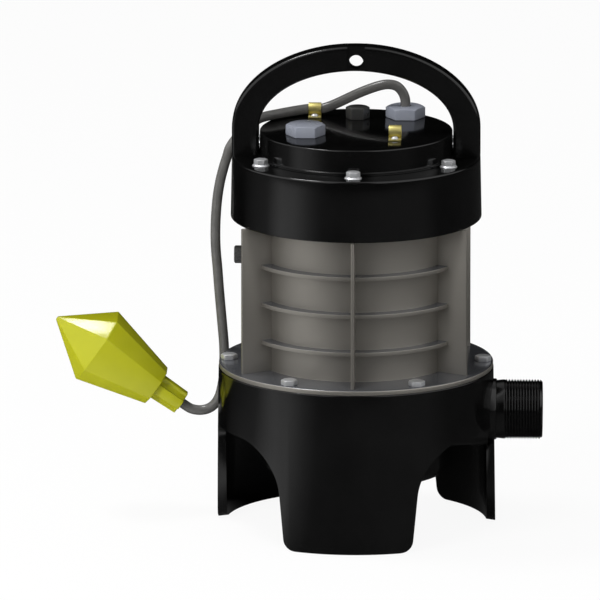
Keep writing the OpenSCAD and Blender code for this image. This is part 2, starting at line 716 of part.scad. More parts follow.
module terminal_block() color("#e4e2da") about_axis()
    translate([-26, -44, bracket_z + bracket_t]) difference() {
        cube([52, 20, 17]);
        for (i = [0:4]) translate([6 + i * 10, 10, 8]) cylinder(h = 10, r = 2.6);
        for (i = [0:4]) translate([6 + i * 10, -1, 7]) rotate([-90, 0, 0]) cylinder(h = 22, r = 2);
    }

module cover_gasket() color("#202020") about_axis() rise(cap_top) difference() {
    pipe(cover_gasket_t, cover_gasket_r, cap_hole_r + 2);
    ring_of(4, cover_pcd_r) rise(-cut) cylinder(h = cover_gasket_t + 2 * cut, r = 2.8);
}

module terminal_cover() color("#1a1a1c") about_axis() difference() {
    union() {
        difference() {
            rise(cap_top) rotate_extrude() polygon(concat(
                [[0, 0], [lip_r, 0], [lip_r, lip_h], [cover_r, lip_h], [cover_r, cover_h - 1]],
                arc([cover_r - 1, cover_h - 1], 1, 0, 90, 3),
                [[0, cover_h]]
            ));
            rise(cap_top - cut) cylinder(h = cover_h - 6 + cut, r = cover_in_r);
            rise(cap_top - cut) cylinder(h = cover_gasket_t + cut, r = cover_gasket_r + fit_gap);
        }
        ring_of(4, cover_pcd_r) rise(cap_top + cover_gasket_t) cylinder(h = cover_h - 6, r = 5.5);
    }
    for (side = [-1, 1]) translate([side * (handle_inner_a - 0.5 + 10), 0, cap_top])
        cube([20, handle_d + 1, 2 * lip_h + 0.02], center = true);
    ring_of(4, cover_pcd_r) rise(cap_top) cylinder(h = 15, r = 2.05);
    for (p = [float_gland, mains_gland]) translate([p.x, p.y, cap_top])
        cylinder(h = cover_h + cut, r = bush_r + fit_gap);
    translate([test_plug_at.x, test_plug_at.y, cap_top]) cylinder(h = cover_h + cut, r = 5);
    for (p = [clip_rear, clip_front]) translate([p.x, p.y - clip_reach, cover_top - 5])
        cylinder(h = 6, r = 1.5);
}

module cover_screws() color("#b9bcc0") about_axis() ring_of(4, cover_pcd_r) {
    rise(cap_plate_z - 2.6) cylinder(h = 2.6, r = 4.2);
    rise(cap_plate_z) cylinder(h = cap_plate_t + 13, r = 2);
}

function handle_outline(a, b, z0) = concat(
    [[a, z0]], [for (i = [0:48]) let (t = 180 * i / 48) [a * cos(t), arch_z + b * sin(t)]], [[-a, z0]]);

module whole_handle() difference() {
    intersection() {
        translate([0, handle_d / 2, 0]) rotate([90, 0, 0]) linear_extrude(height = handle_d) difference() {
            polygon(handle_outline(handle_outer_a, handle_outer_b, cap_top));
            polygon(handle_outline(handle_inner_a, handle_inner_b, cap_top - cut));
        }
        rise(cap_top - cut) cylinder(h = 200, r = cap_r - 1);
    }
    translate([0, handle_d, eye_z]) rotate([90, 0, 0]) cylinder(h = 2 * handle_d, r = eye_r);
    for (side = [-1, 1]) translate([0, side * handle_d / 2, eye_z])
        cube([eye_recess_w, 2 * eye_recess_d, 40], center = true);
    for (side = [-1, 1]) translate([side * leg_x, 0, cap_top - cut])
        cylinder(h = 26 + cut, r = handle_screw_r + fit_gap);
}

module crown_block() translate([-handle_seam_x, -handle_d, cap_top - cut]) cube([2 * handle_seam_x, 2 * handle_d, 200]);

// Crown of the handle, with the lifting eye
module carry_handle() color("#1a1a1c") about_axis() intersection() {
    whole_handle();
    crown_block();
}

// The two legs, which carry on from the crown down to the cap
module handle_legs() color("#1a1a1c") about_axis() difference() {
    whole_handle();
    crown_block();
}

module handle_screws() color("#b9bcc0") about_axis() for (side = [-1, 1]) translate([side * leg_x, 0, 0]) {
    rise(cap_plate_z - 8 - 4.4) difference() {
        cylinder(h = 4.4, r = 6.2);
        rise(-cut) hex(cut + 2.6, 5);
    }
    rise(cap_plate_z - 8) cylinder(h = 8 + cap_plate_t + 24, r = handle_screw_r);
}

module gland_nut(p) translate([p.x, p.y, cover_top]) difference() {
    hex_head(gland_h, gland_af, 1.6);
    rise(-cut) cylinder(h = gland_h + 2 * cut, r = bush_r + fit_gap);
}

module float_gland_nut() color("#7c7f8c") about_axis() gland_nut(float_gland);

module mains_gland_nut() color("#7c7f8c") about_axis() gland_nut(mains_gland);

module float_gland_bush() color("#26262a") about_axis()
    translate([float_gland.x, float_gland.y, cover_top - 8]) pipe(8 + gland_h - 0.5, bush_r, cable_d / 2 + 0.1);

module mains_gland_bush() color("#26262a") about_axis()
    translate([mains_gland.x, mains_gland.y, cover_top - 8]) difference() {
        cylinder(h = 8 + gland_h - 0.5, r = bush_r);
        rise(8 + gland_h - 2.5) cylinder(h = 4, r = 4);
    }

module test_plug() color("#3c3e46") about_axis()
    translate([test_plug_at.x, test_plug_at.y, cover_top]) {
        hex_head(gland_h, test_plug_af);
        rise(-8) cylinder(h = 8, r = 5 - fit_gap);
    }

// Loop for a cable with a screwed tab towards the front
module cable_clip(p) translate([p.x - clip_w / 2, p.y, cover_top]) rotate([90, 0, 90]) difference() {
    union() {
        translate([0, clip_loop_r, 0]) cylinder(h = clip_w, r = clip_loop_r);
        translate([-clip_reach - 3.6, 0, 0]) cube([clip_reach + 3.6, clip_t, clip_w]);
    }
    translate([0, clip_loop_r, -cut]) cylinder(h = clip_w + 2 * cut, r = clip_loop_r - clip_t);
    translate([-clip_reach, -cut, clip_w / 2]) rotate([-90, 0, 0]) cylinder(h = 4, r = 1.6);
}

module cable_clip_rear() color("#c8b95a") about_axis() cable_clip(clip_rear);

module cable_clip_front() color("#c8b95a") about_axis() cable_clip(clip_front);

module clip_screws() color("#c9cbce") about_axis() for (p = [clip_rear, clip_front])
    translate([p.x, p.y - clip_reach, cover_top]) {
        rise(clip_t) cylinder(h = 1.8, r = 2.8);
        rise(-4.5) cylinder(h = 4.5 + clip_t, r = 1.45);
    }

// A tube swept along a list of points, one ring of corners to a point, with a round far end
module swept_tube(points, r, sides) {
    last = len(points) - 1;
    ahead = (points[last] - points[last - 1]) / norm(points[last] - points[last - 1]);
    centres = concat(points, [for (a = [30, 60, 80]) points[last] + r * sin(a) * ahead]);
    radii = concat([for (p = points) r], [for (a = [30, 60, 80]) r * cos(a)]);
    end = len(centres) - 1;
    function direction(i) = let (d = centres[min(i + 1, end)] - centres[max(i - 1, 0)]) d / norm(d);
    function side_axis(i) = let (s = cross(direction(i), [0.15, 1, 0.1])) s / norm(s);
    function ring(i) = let (s = side_axis(i), t = cross(s, direction(i)))
        [for (k = [0:sides - 1]) let (a = 360 * k / sides) centres[i] + radii[i] * (s * cos(a) + t * sin(a))];
    polyhedron(
        points = [for (i = [0:end]) each ring(i)],
        faces = concat(
            [[for (k = [sides - 1:-1:0]) k]],
            [for (i = [0:end - 1], k = [0:sides - 1]) let (n = (k + 1) % sides)
                [i * sides + k, i * sides + n, (i + 1) * sides + n, (i + 1) * sides + k]],
            [[for (k = [0:sides - 1]) end * sides + k]]
        )
    );
}

module float_cable() color("#5c5b56") about_axis() swept_tube(cable_route, cable_d / 2, 10);

// Frame of the float: its axis runs from the pivot to the nose along +Z
module float_frame() about_axis() translate(pivot)
    rotate([0, 0, float_yaw]) rotate([0, float_rise - 90, 0]) rotate([0, 0, float_roll]) children();

// Square with cut corners, as wide as w across its wide faces
function octagon(w, z) = let (h = w / 2, c = w * 0.27) [
    for (p = [[h, c], [c, h], [-c, h], [-h, c], [-h, -c], [-c, -h], [c, -h], [h, -c]]) [p.x, p.y, z]];

// Solid between two such sections
module octagon_loft(w0, z0, w1, z1) polyhedron(
    points = concat(octagon(w0, z0), octagon(w1, z1)),
    faces = concat(
        [[for (k = [0:7]) k], [for (k = [7:-1:0]) 8 + k]],
        [for (k = [0:7]) let (n = (k + 1) % 8) [k, 8 + k, 8 + n, n]]
    )
);

module float_cone() color("#c3c430") float_frame() difference() {
    octagon_loft(float_neck_w, collet_end, float_w, float_wide_s - float_joint);
    octagon_loft(float_neck_w - 2 * float_wall, collet_end + 3, float_w - 2 * float_wall, float_wide_s + 0.01);
    rise(collet_end - cut) cylinder(h = 6, r = cable_d / 2 + fit_gap);
}

module float_nose() color("#c9cc3a") float_frame() difference() {
    octagon_loft(float_w, float_wide_s, 3, float_len);
    octagon_loft(float_w - 2 * float_wall, float_wide_s - 0.01, 2, float_len - 6);
}

module float_collet() color("#c3c430") float_frame() rise(collet_start) difference() {
    union() {
        cylinder(h = collet_len, r = collet_r - 2.4);
        for (i = [0:3]) rotate([0, 0, i * 90]) translate([6, -4.5, 0])
            cube([collet_r - 6, 9, collet_len]);
    }
    rise(-cut) cylinder(h = collet_len + 2 * cut, r = cable_d / 2 + fit_gap);
}

module float_lead() color("#5c5b56") float_frame() rise(lead_start) cylinder(h = lead_len, r = cable_d / 2);

module float_switch() color("#e4e2da") float_frame() rise(lead_start + lead_len) {
    cylinder(h = 4, r = 9);
    rise(4) cylinder(h = 34, r = 11);
}

pump_base();
suction_cover();
suction_cover_screws();
discharge_nipple();
seal_plate();
seal_seat();
seal_rotor();
bearing_plate();
oil_seal();
lower_bearing_outer();
lower_bearing_inner();
lower_bearing_balls();
base_gasket();
motor_casing();
cooling_rings();
cooling_fins();
flange_bolts();
casing_fill_plug();
fill_plug_washer();
stator_core();
stator_windings();
rotor_core();
rotor_cage();
motor_shaft();
upper_bearing_bracket();
upper_bearing_outer();
upper_bearing_inner();
upper_bearing_balls();
bracket_screws();
impeller();
impeller_washer();
impeller_nut();
impeller_key();
cap_gasket();
top_cap();
cap_bolts();
start_capacitor();
terminal_block();
cover_gasket();
terminal_cover();
cover_screws();
carry_handle();
handle_legs();
handle_screws();
float_gland_nut();
float_gland_bush();
mains_gland_nut();
mains_gland_bush();
test_plug();
cable_clip_rear();
cable_clip_front();
clip_screws();
float_cable();
float_nose();
float_cone();
float_collet();
float_lead();
float_switch();
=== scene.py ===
# %% [markdown]
# A submersible drainage pump. It stands on a black skirt with three feet, and water rises through the skirt
# into a small impeller. A sealed motor sits above it in a bare metal casing, a black cap closes the top, and
# a yellow float on a grey cable switches the motor when the water rises.
# The construction comes from the frame, which is already at its real size. This file gives it its finish.

# %% Load the frame
import json
import math

import bmesh
import bpy
from mathutils import Matrix, Vector


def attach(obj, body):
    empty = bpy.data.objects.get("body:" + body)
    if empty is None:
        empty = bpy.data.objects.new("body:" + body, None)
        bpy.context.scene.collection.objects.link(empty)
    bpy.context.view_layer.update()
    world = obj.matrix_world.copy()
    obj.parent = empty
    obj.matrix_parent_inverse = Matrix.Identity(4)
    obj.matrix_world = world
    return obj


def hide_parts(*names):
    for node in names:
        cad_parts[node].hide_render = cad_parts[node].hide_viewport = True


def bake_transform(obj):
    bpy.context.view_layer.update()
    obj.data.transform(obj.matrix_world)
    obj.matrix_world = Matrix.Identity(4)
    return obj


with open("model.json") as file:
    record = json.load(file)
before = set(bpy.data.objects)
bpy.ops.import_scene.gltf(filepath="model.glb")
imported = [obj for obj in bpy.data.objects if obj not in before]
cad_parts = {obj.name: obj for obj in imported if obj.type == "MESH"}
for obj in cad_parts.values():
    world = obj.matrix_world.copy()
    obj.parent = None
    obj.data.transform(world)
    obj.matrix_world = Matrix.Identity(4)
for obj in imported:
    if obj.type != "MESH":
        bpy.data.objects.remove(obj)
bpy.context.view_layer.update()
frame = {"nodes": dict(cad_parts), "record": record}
MM = 0.001
axis_x = frame["record"]["behaviour"]["joints"][0]["pos_m"][0]

# %% [markdown]
# The camera stands almost straight in front and looks slightly down. A very long lens keeps upright edges
# parallel, as they are in a product picture. An orthographic camera could do that too, but a real lens keeps a
# trace of depth. One pixel of the picture is 0.806 mm on the pump, which gives the picture's width.

# %% Camera
CAMERA_AZIMUTH = 1.75
CAMERA_ELEVATION = 13.2
LENS_MM = 1400
SENSOR_MM = 36
FARTHEST = 100
PICTURE_WIDTH = 483.6 * MM
PICTURE_RIGHT = -45.2 * MM
PICTURE_UP = 48.0 * MM
FLANGE_TOP = 135


def aim_camera():
    azimuth, elevation = math.radians(CAMERA_AZIMUTH), math.radians(CAMERA_ELEVATION)
    towards = Vector((
        math.sin(azimuth) * math.cos(elevation),
        -math.cos(azimuth) * math.cos(elevation),
        math.sin(elevation),
    ))
    right = Vector((math.cos(azimuth), math.sin(azimuth), 0))
    up = towards.cross(right)
    target = Vector((axis_x, 0, FLANGE_TOP * MM)) + right * PICTURE_RIGHT + up * PICTURE_UP
    data = bpy.data.cameras.new("camera")
    data.lens = LENS_MM
    data.sensor_width = SENSOR_MM
    data.clip_end = FARTHEST
    camera = bpy.data.objects.new("camera", data)
    bpy.context.collection.objects.link(camera)
    camera.location = target + towards * (PICTURE_WIDTH * LENS_MM / SENSOR_MM)
    camera.rotation_euler = (-towards).to_track_quat("-Z", "Y").to_euler()
    bpy.context.scene.camera = camera
    return camera


camera = aim_camera()
bpy.context.scene.view_settings.view_transform = "Standard"
print("camera", [round(value, 2) for value in camera.location])

# %% [markdown]
# Every material below is a small node tree. One function adds a node, sets it and links it. Another turns a
# colour written as a web designer writes it into the linear light that a shader works in.

# %% Helpers for node trees
def linear(text):
    def channel(pair):
        value = int(pair, 16) / 255
        return value / 12.92 if value <= 0.04045 else ((value + 0.055) / 1.055) ** 2.4

    return (channel(text[1:3]), channel(text[3:5]), channel(text[5:7]), 1)


def put(tree, kind, inputs=(), **settings):
    made = tree.nodes.new(kind)
    for name, value in settings.items():
        setattr(made, name, value)
    for name, value in dict(inputs).items():
        if isinstance(value, bpy.types.NodeSocket):
            tree.links.new(value, made.inputs[name])
        else:
            made.inputs[name].default_value = value
    return made


def new_material(name, colour, roughness, **sockets):
    material = bpy.data.materials.new(name)
    material.use_nodes = True
    shader = material.node_tree.nodes["Principled BSDF"]
    for socket, value in {"Base Color": linear(colour), "Roughness": roughness, **sockets}.items():
        shader.inputs[socket].default_value = value
    return material, material.node_tree, shader


# %% [markdown]
# No real surface is the same all over. A noise pattern of a real size in millimetres, laid over the piece, can
# vary three things: how glossy it is, its colour between two tones, and its height. It reads the piece's own
# coordinates, so it stays on the piece when the float moves. A picture of the surface could do the same, but
# it would need a layout and a file.

# %% Patterns on a surface
TONE_STOPS = (0.3, 0.7)


def grain(tree, size_mm, stretch=(1, 1, 1), detail=3):
    """A noise whose grains are about size_mm across, where stretch is 1."""
    where = put(tree, "ShaderNodeTexCoord")
    laid = put(tree, "ShaderNodeMapping", {"Vector": where.outputs["Object"], "Scale": stretch})
    return put(tree, "ShaderNodeTexNoise", {
        "Vector": laid.outputs["Vector"], "Scale": 1 / (size_mm * MM), "Detail": detail}).outputs["Fac"]


def vary(tree, shader, pattern, gloss=None, tones=None, relief=None):
    """Lets a pattern vary the roughness (low, high), the colour (two tones) or the height (mm, strength)."""
    if gloss:
        spread = put(tree, "ShaderNodeMapRange", {"Value": pattern, "To Min": gloss[0], "To Max": gloss[1]})
        tree.links.new(spread.outputs["Result"], shader.inputs["Roughness"])
    if tones:
        ramp = put(tree, "ShaderNodeValToRGB", {"Fac": pattern})
        for stop, position, tone in zip(ramp.color_ramp.elements, TONE_STOPS, tones):
            stop.position = position
            stop.color = linear(tone)
        tree.links.new(ramp.outputs["Color"], shader.inputs["Base Color"])
    if relief:
        raised = put(tree, "ShaderNodeBump", {
            "Height": pattern, "Strength": relief[1], "Distance": relief[0] * MM})
        tree.links.new(raised.outputs["Normal"], shader.inputs["Normal"])


# %% [markdown]
# The base, the cap, the cover and the handle are cast and then sprayed with black enamel. Sprayed enamel is
# glossy, and its surface has a very slight ripple a few millimetres across, known as orange peel. The ripple
# bends the reflections a little, and faint dust makes the gloss and the black uneven. The handle is a little
# duller, because hands rub it.

# %% Black enamel
ENAMEL_BLACK = "#080808"
ENAMEL_TONES = ("#060606", "#0a0a0a")
PEEL_MM = 5.0
PEEL_RELIEF = (0.02, 0.35)
DUST_MM = 28
DUST_SPREAD = (0.8, 1.35)


def black_enamel(name, roughness):
    material, tree, shader = new_material(name, ENAMEL_BLACK, roughness, IOR=1.5)
    vary(tree, shader, grain(tree, PEEL_MM, detail=2), relief=PEEL_RELIEF)
    vary(tree, shader, grain(tree, DUST_MM, detail=4), [roughness * k for k in DUST_SPREAD], ENAMEL_TONES)
    return material


enamel = black_enamel("black enamel on cast iron", 0.12)
enamel_handle = black_enamel("black enamel, handle", 0.18)
print("enamels", enamel.name, "and", enamel_handle.name)

# %% [markdown]
# The casing is turned metal with a satin finish. A fine tool leaves marks far finer than a millimetre that run
# round the tube, so they are drawn coarser here, as streaks that are long sideways and short upwards. They
# only vary the gloss, because a relief this coarse would look like dents. A thin film of oxide dulls the
# casing, the flange and the zinc of the bolts, so these are a little less than fully metallic.

# %% Bare metals
MARK_STRENGTH = 0.25
ALL_ROUND = (1, 1, 1)
ROUND_THE_TUBE = (0.06, 0.06, 1)


def worked_metal(name, colour, roughness, mark_mm, stretch, spread, depth_mm, metallic=1.0):
    material, tree, shader = new_material(name, colour, roughness, Metallic=metallic)
    vary(tree, shader, grain(tree, mark_mm, stretch, detail=4),
         (roughness * (1 - spread), roughness * (1 + spread)),
         relief=(depth_mm, MARK_STRENGTH) if depth_mm else None)
    return material


casing_metal = worked_metal("satin turned casing metal", "#a09c95", 0.46, 1.6, ROUND_THE_TUBE, 0.12, 0, 0.85)
# Darker than the casing metal: painted shade for the faces that point up.
faced_metal_with_painted_shade = worked_metal("turned faced metal with painted shade", "#74767b", 0.22, 1.0, ALL_ROUND, 0.15, 0.004, 0.62)
zinc = worked_metal("dull zinc plating", "#dddee0", 0.43, 0.8, ALL_ROUND, 0.2, 0.004, 0.78)
steel = worked_metal("plain ground steel", "#b4b5b6", 0.3, 0.6, (0.2, 0.2, 1), 0.25, 0.01)
cast_grey = worked_metal("grey casting", "#7a7b7c", 0.55, 1.6, ALL_ROUND, 0.2, 0.12)
rotor_metal = worked_metal("cast aluminium", "#b9babb", 0.42, 2.0, ALL_ROUND, 0.2, 0.05)
impeller_metal = worked_metal("dark coated casting", "#3a3a3b", 0.5, 1.5, ALL_ROUND, 0.2, 0.1)
yellow_steel = worked_metal("yellow passivated steel", "#d3c780", 0.52, 0.9, ALL_ROUND, 0.15, 0.003)
print("metals", casing_metal.name, faced_metal_with_painted_shade.name, zinc.name)

# %% [markdown]
# The gland nuts are satin blue-grey plastic. The float is blow moulded from glossy yellow-green polyethylene.
# The cable has a smooth grey rubber sheath, which shows a slight bloom in patches and takes a soft highlight.
# A mould leaves a fine grain under a millimetre across, and the colour clouds over a distance some ten times
# longer.

# %% Plastics and rubber
CLOUDS_TO_GRAIN = 12
CLOUD_SPREAD = (0.85, 1.2)
GRAIN_STRENGTH = 0.4


def moulded(name, colour, second, roughness, grain_mm, depth_mm, **sockets):
    material, tree, shader = new_material(name, colour, roughness, **sockets)
    vary(tree, shader, grain(tree, grain_mm * CLOUDS_TO_GRAIN, detail=3),
         [roughness * k for k in CLOUD_SPREAD], (colour, second))
    vary(tree, shader, grain(tree, grain_mm, detail=3), relief=(depth_mm, GRAIN_STRENGTH))
    return material


nut_plastic = moulded("satin blue-grey nut", "#9296a0", "#8b8f9b", 0.28, 0.8, 0.01, IOR=1.5)
dark_plug = moulded("dark satin plug", "#575756", "#4c4c4b", 0.28, 0.8, 0.01, Metallic=0.6)
float_skin = moulded("yellow-green polyethylene", "#b0b11a", "#a9aa18", 0.2, 2.0, 0.01, IOR=1.5)
cable_rubber = moulded("grey rubber sheath", "#656462", "#5b5a58", 0.24, 0.7, 0.01, IOR=1.5)
seal_rubber = moulded("black seal rubber", "#1b1b1b", "#222222", 0.6, 0.6, 0.02, IOR=1.5)
white_ceramic = moulded("white ceramic", "#dcdcd6", "#d3d3cc", 0.25, 1.0, 0.01, IOR=1.5)
block_plastic = moulded("off-white nylon", "#d9d6cb", "#d0cdc1", 0.45, 1.0, 0.02, IOR=1.5)
print("materials so far", len(bpy.data.materials))

# %% [markdown]
# Stator and rotor are stacks of steel sheet half a millimetre thick. That is too fine to show, so the bands
# are drawn one millimetre apart. The windings are enamelled copper wire, drawn as bands in the same way.

# %% Banded materials
WAVES_TO_SCALE = 0.31
BAND_STRENGTH = 0.6


def banded(name, colour, dark, band_mm, roughness, depth_mm):
    material, tree, shader = new_material(name, colour, roughness, Metallic=1.0)
    where = put(tree, "ShaderNodeTexCoord")
    bands = put(tree, "ShaderNodeTexWave", {
        "Vector": where.outputs["Object"], "Scale": WAVES_TO_SCALE / (band_mm * MM), "Distortion": 0.4},
        bands_direction="Z")
    vary(tree, shader, bands.outputs["Fac"], tones=(dark, colour), relief=(depth_mm, BAND_STRENGTH))
    return material


lamination = banded("laminated steel", "#84878c", "#55585c", 1.0, 0.4, 0.05)
copper = banded("enamelled copper wire", "#c07a45", "#7d4722", 1.2, 0.32, 0.2)
print("banded", lamination.name, "and", copper.name)

# %% [markdown]
# The frame's nodes keep their shape, and each takes the material that its slot in the record names. That way
# a piece that nothing replaces, such as a gland's bush or the impeller, is finished too.

# %% Dress the frame's nodes
SLOT_MATERIALS = {
    "base_black": enamel, "cap_black": enamel, "outlet_black": enamel, "cast_grey": cast_grey,
    "stainless": steel, "bearing_steel": steel, "zinc_bolt": zinc, "fitting_metal": nut_plastic,
    "plug_dark": dark_plug, "clip_brass": yellow_steel, "casing_metal": casing_metal, "lamination": lamination,
    "copper": copper, "rotor_aluminium": rotor_metal, "impeller_iron": impeller_metal,
    "ceramic": white_ceramic, "block_plastic": block_plastic, "seal_rubber": seal_rubber,
    "cable_rubber": cable_rubber, "float_plastic": float_skin,
}
for part in frame["record"]["subparts"]:
    node = frame["nodes"][part["node"]]
    node.data.materials.clear()
    node.data.materials.append(SLOT_MATERIALS[part["material_slot"]])

# %% [markdown]
# Every piece below is built from rings of points with bands of faces between them. A ring may be the section
# of the cable, of the handle or of the float, or the whole outline of a turned piece. Each mesh is then
# finished in the same way: double points are merged, faces turned outwards, and edges sharper than an angle
# kept crisp while the rest is shaded smooth.

# %% Rings, faces and finished meshes
SMOOTH_ANGLE = 35
MERGE_DISTANCE = 1e-6


def skin(bm, rings, closed=False):
    """Bands of faces from ring to ring. A row of rings that isn't closed gets a face at each end."""
    following = rings[1:] + rings[:1] if closed else rings[1:]
    for ring, ahead in zip(rings, following):
        for i in range(len(ring)):
            j = (i + 1) % len(ring)
            if (ring[i].co - ahead[i].co).length + (ring[j].co - ahead[j].co).length > MERGE_DISTANCE * MM:
                bm.faces.new([ring[i], ring[j], ahead[j], ahead[i]])
    if not closed:
        bm.faces.new(rings[0])
        bm.faces.new(rings[-1])


def smooth(piece, angle=SMOOTH_ANGLE):
    piece.data.shade_smooth()
    piece.data.set_sharp_from_angle(angle=math.radians(angle))
    return piece


def finish_mesh(name, bm, material, smooth_angle=SMOOTH_ANGLE):
    bmesh.ops.remove_doubles(bm, verts=bm.verts, dist=MERGE_DISTANCE)
    bmesh.ops.recalc_face_normals(bm, faces=bm.faces)
    mesh = bpy.data.meshes.new(name)
    bm.to_mesh(mesh)
    bm.free()
    mesh.materials.append(material)
    piece = bpy.data.objects.new(name, mesh)
    bpy.context.collection.objects.link(piece)
    return smooth(piece, smooth_angle)


def report(piece):
    print(piece.name, len(piece.data.polygons), "faces")
    return piece


def row_point(x, y, z):
    """A point given in millimetres from the pump's axis and the floor."""
    return Vector((axis_x + x * MM, y * MM, z * MM))


# %% [markdown]
# The float cable is the longest piece, so it comes first. It leaves its gland, arches over to a clip, drops
# over the cover's edge and hangs down the casing to the float. A smooth curve through a few chosen points gives
# its line, as a sprung ruler would, and a ring of points at each step makes the tube. A curve object with a
# round bevel could do it too, but a mesh can bend at the float.

# %% Route of the float cable
CABLE_RADIUS = 4 * MM
CABLE_SIDES = 24
CABLE_ROUTE = [
    (38.4, 47.1, 328), (38.4, 47.1, 335), (38, 47.2, 340.5), (35.5, 47.5, 346.2),
    (31, 48, 350.4), (24.5, 48.5, 351.6), (17.5, 49, 350.4), (8, 49.8, 347),
    (-1, 50.6, 343), (-9, 51.3, 339), (-17, 51.8, 335), (-24, 52.1, 332),
    (-30, 52.2, 330.3), (-39, 52.2, 330.2), (-45, 50.5, 329.8), (-52, 46.5, 329.5),
    (-59, 40.8, 329.4), (-66, 34.2, 329.4), (-72.5, 28, 329.4), (-79, 23.5, 328.2),
    (-86, 20.5, 324.2), (-93, 19, 317.5), (-99, 18.4, 310.5), (-102.6, 18.4, 304.5),
    (-104.5, 18.8, 298), (-107, 19, 290), (-110, 19.6, 278), (-112.3, 21, 264),
    (-113.7, 23.1, 248), (-114.2, 24.8, 232), (-113.8, 26.4, 218), (-112.7, 28.8, 204),
    (-111.8, 31.2, 190), (-110.8, 33.7, 176), (-109.8, 36.2, 163), (-108.8, 38.8, 150),
    (-108, 42, 138), (-107.8, 44, 128), (-108, 44.2, 118), (-108.6, 44.2, 108),
    (-110, 44, 99.5), (-112.2, 43.6, 92.4), (-115.8, 43.2, 86.8), (-120.6, 43, 83.4),
    (-126, 43, 82), (-131, 43, 82.2), (-135, 43, 83.3), (-138.4, 43, 85.3),
]


def smooth_line(points, steps=4):
    """A Catmull-Rom curve through the points."""
    line = []
    padded = [points[0] * 2 - points[1]] + points + [points[-1] * 2 - points[-2]]
    for a, b, c, d in zip(padded, padded[1:], padded[2:], padded[3:]):
        for step in range(steps):
            t = step / steps
            line.append(0.5 * (2 * b + (c - a) * t + (2 * a - 5 * b + 4 * c - d) * t ** 2
                               + (3 * b - a - 3 * c + d) * t ** 3))
    line.append(points[-1])
    return line


# %% [markdown]
# The cable ends inside the float's collet, so its last point lies on the float's own axis. The float rises
# from that point and is turned a little about its length, which the next lines set.

# %% Float cable
FLOAT_RISE = 35
FLOAT_YAW = 1.7
FLOAT_ROLL = -3
INTO_COLLET = 4.6 * MM


def tube(name, line, radius, sides, material):
    bm = bmesh.new()
    rings = []
    side = Vector((0, 1, 0))
    for index, point in enumerate(line):
        ahead = line[min(index + 1, len(line) - 1)] - line[max(index - 1, 0)]
        side = (side - ahead * side.dot(ahead) / ahead.length_squared).normalized()
        other = ahead.normalized().cross(side)
        rings.append([
            bm.verts.new(point + (side * math.cos(a) + other * math.sin(a)) * radius)
            for a in (2 * math.pi * k / sides for k in range(sides))
        ])
    skin(bm, rings)
    return finish_mesh(name, bm, material)


pivot = row_point(*CABLE_ROUTE[-1])
float_turn = (Matrix.Rotation(math.radians(FLOAT_YAW), 3, "Z")
              @ Matrix.Rotation(math.radians(FLOAT_RISE - 90), 3, "Y")
              @ Matrix.Rotation(math.radians(FLOAT_ROLL), 3, "Z"))
float_axis = float_turn @ Vector((0, 0, 1))
cable_line = smooth_line([row_point(*p) for p in CABLE_ROUTE] + [pivot + float_axis * INTO_COLLET])
cable = report(tube("float_flex", cable_line, CABLE_RADIUS, CABLE_SIDES, cable_rubber))

# %% [markdown]
# Most other pieces are turned shapes or castings, and real edges are never perfectly sharp: a small rounding
# catches a line of light along them. So an outline is a list of corners, each with its own rounding.

# %% Rounded outlines
def rounded(corners, steps=4):
    """Corners are (x, y) or (x, y, radius), in millimetres, round a closed outline."""
    points = []
    count = len(corners)
    for index, corner in enumerate(corners):
        here = Vector(corner[:2])
        radius = corner[2] if len(corner) > 2 else 0
        if radius == 0:
            points.append(here)
            continue
        before = (Vector(corners[index - 1][:2]) - here).normalized()
        after = (Vector(corners[(index + 1) % count][:2]) - here).normalized()
        half = before.angle(after) / 2
        reach = radius / math.tan(half)
        centre = here + (before + after).normalized() * (radius / math.sin(half))
        start, end = here + before * reach - centre, here + after * reach - centre
        turn = start.angle_signed(end)
        for step in range(steps + 1):
            angle = -turn * step / steps
            points.append(centre + Matrix.Rotation(angle, 2) @ start)
    return [(point.x, point.y) for point in points]


# %% [markdown]
# The discharge is threaded so that a pipe or an elbow screws on. The thread is a single groove that winds
# round the stub with 2.309 mm between turns, as on an inch and a half pipe thread. A screw modifier could cut
# it, but here its radius is worked out for every point from how far along and how far round the point is,
# which also gives the run-out at the collar and the chamfer at the mouth.

# %% Threaded discharge
THREAD_PITCH = 2.309
THREAD_DEPTH = 1.48
THREAD_RADIUS = 23.9
THREAD_START = 119.0
THREAD_END = 150.3
THREAD_MOUTH = 1.8
MOUTH_DEPTH = 1.9
FLANK_SLOPE = 2.5
RUNOUT_START = 0.6
RUNOUT_LENGTH = 2.0
THREAD_STEPS = 10
THREAD_SIDES = 120
BORE_RADIUS = 19.0
BORE_CHAMFER = 0.8
COLLAR_RADIUS = 24.6
COLLAR_START = 94
OUTLET_Z = 95 * MM


def thread_radius(along, turn):
    phase = (along / THREAD_PITCH - turn) % 1
    flank = min(abs(phase - 0.5) * FLANK_SLOPE, 1.0)
    crest = 0.5 - 0.5 * math.cos(math.pi * flank)
    runout = min(1.0, max(0.0, (along - RUNOUT_START) / RUNOUT_LENGTH))
    chamfer = max(0.0, along - (THREAD_END - THREAD_START - THREAD_MOUTH))
    return THREAD_RADIUS - max(THREAD_DEPTH * (1 - crest) * runout, chamfer)


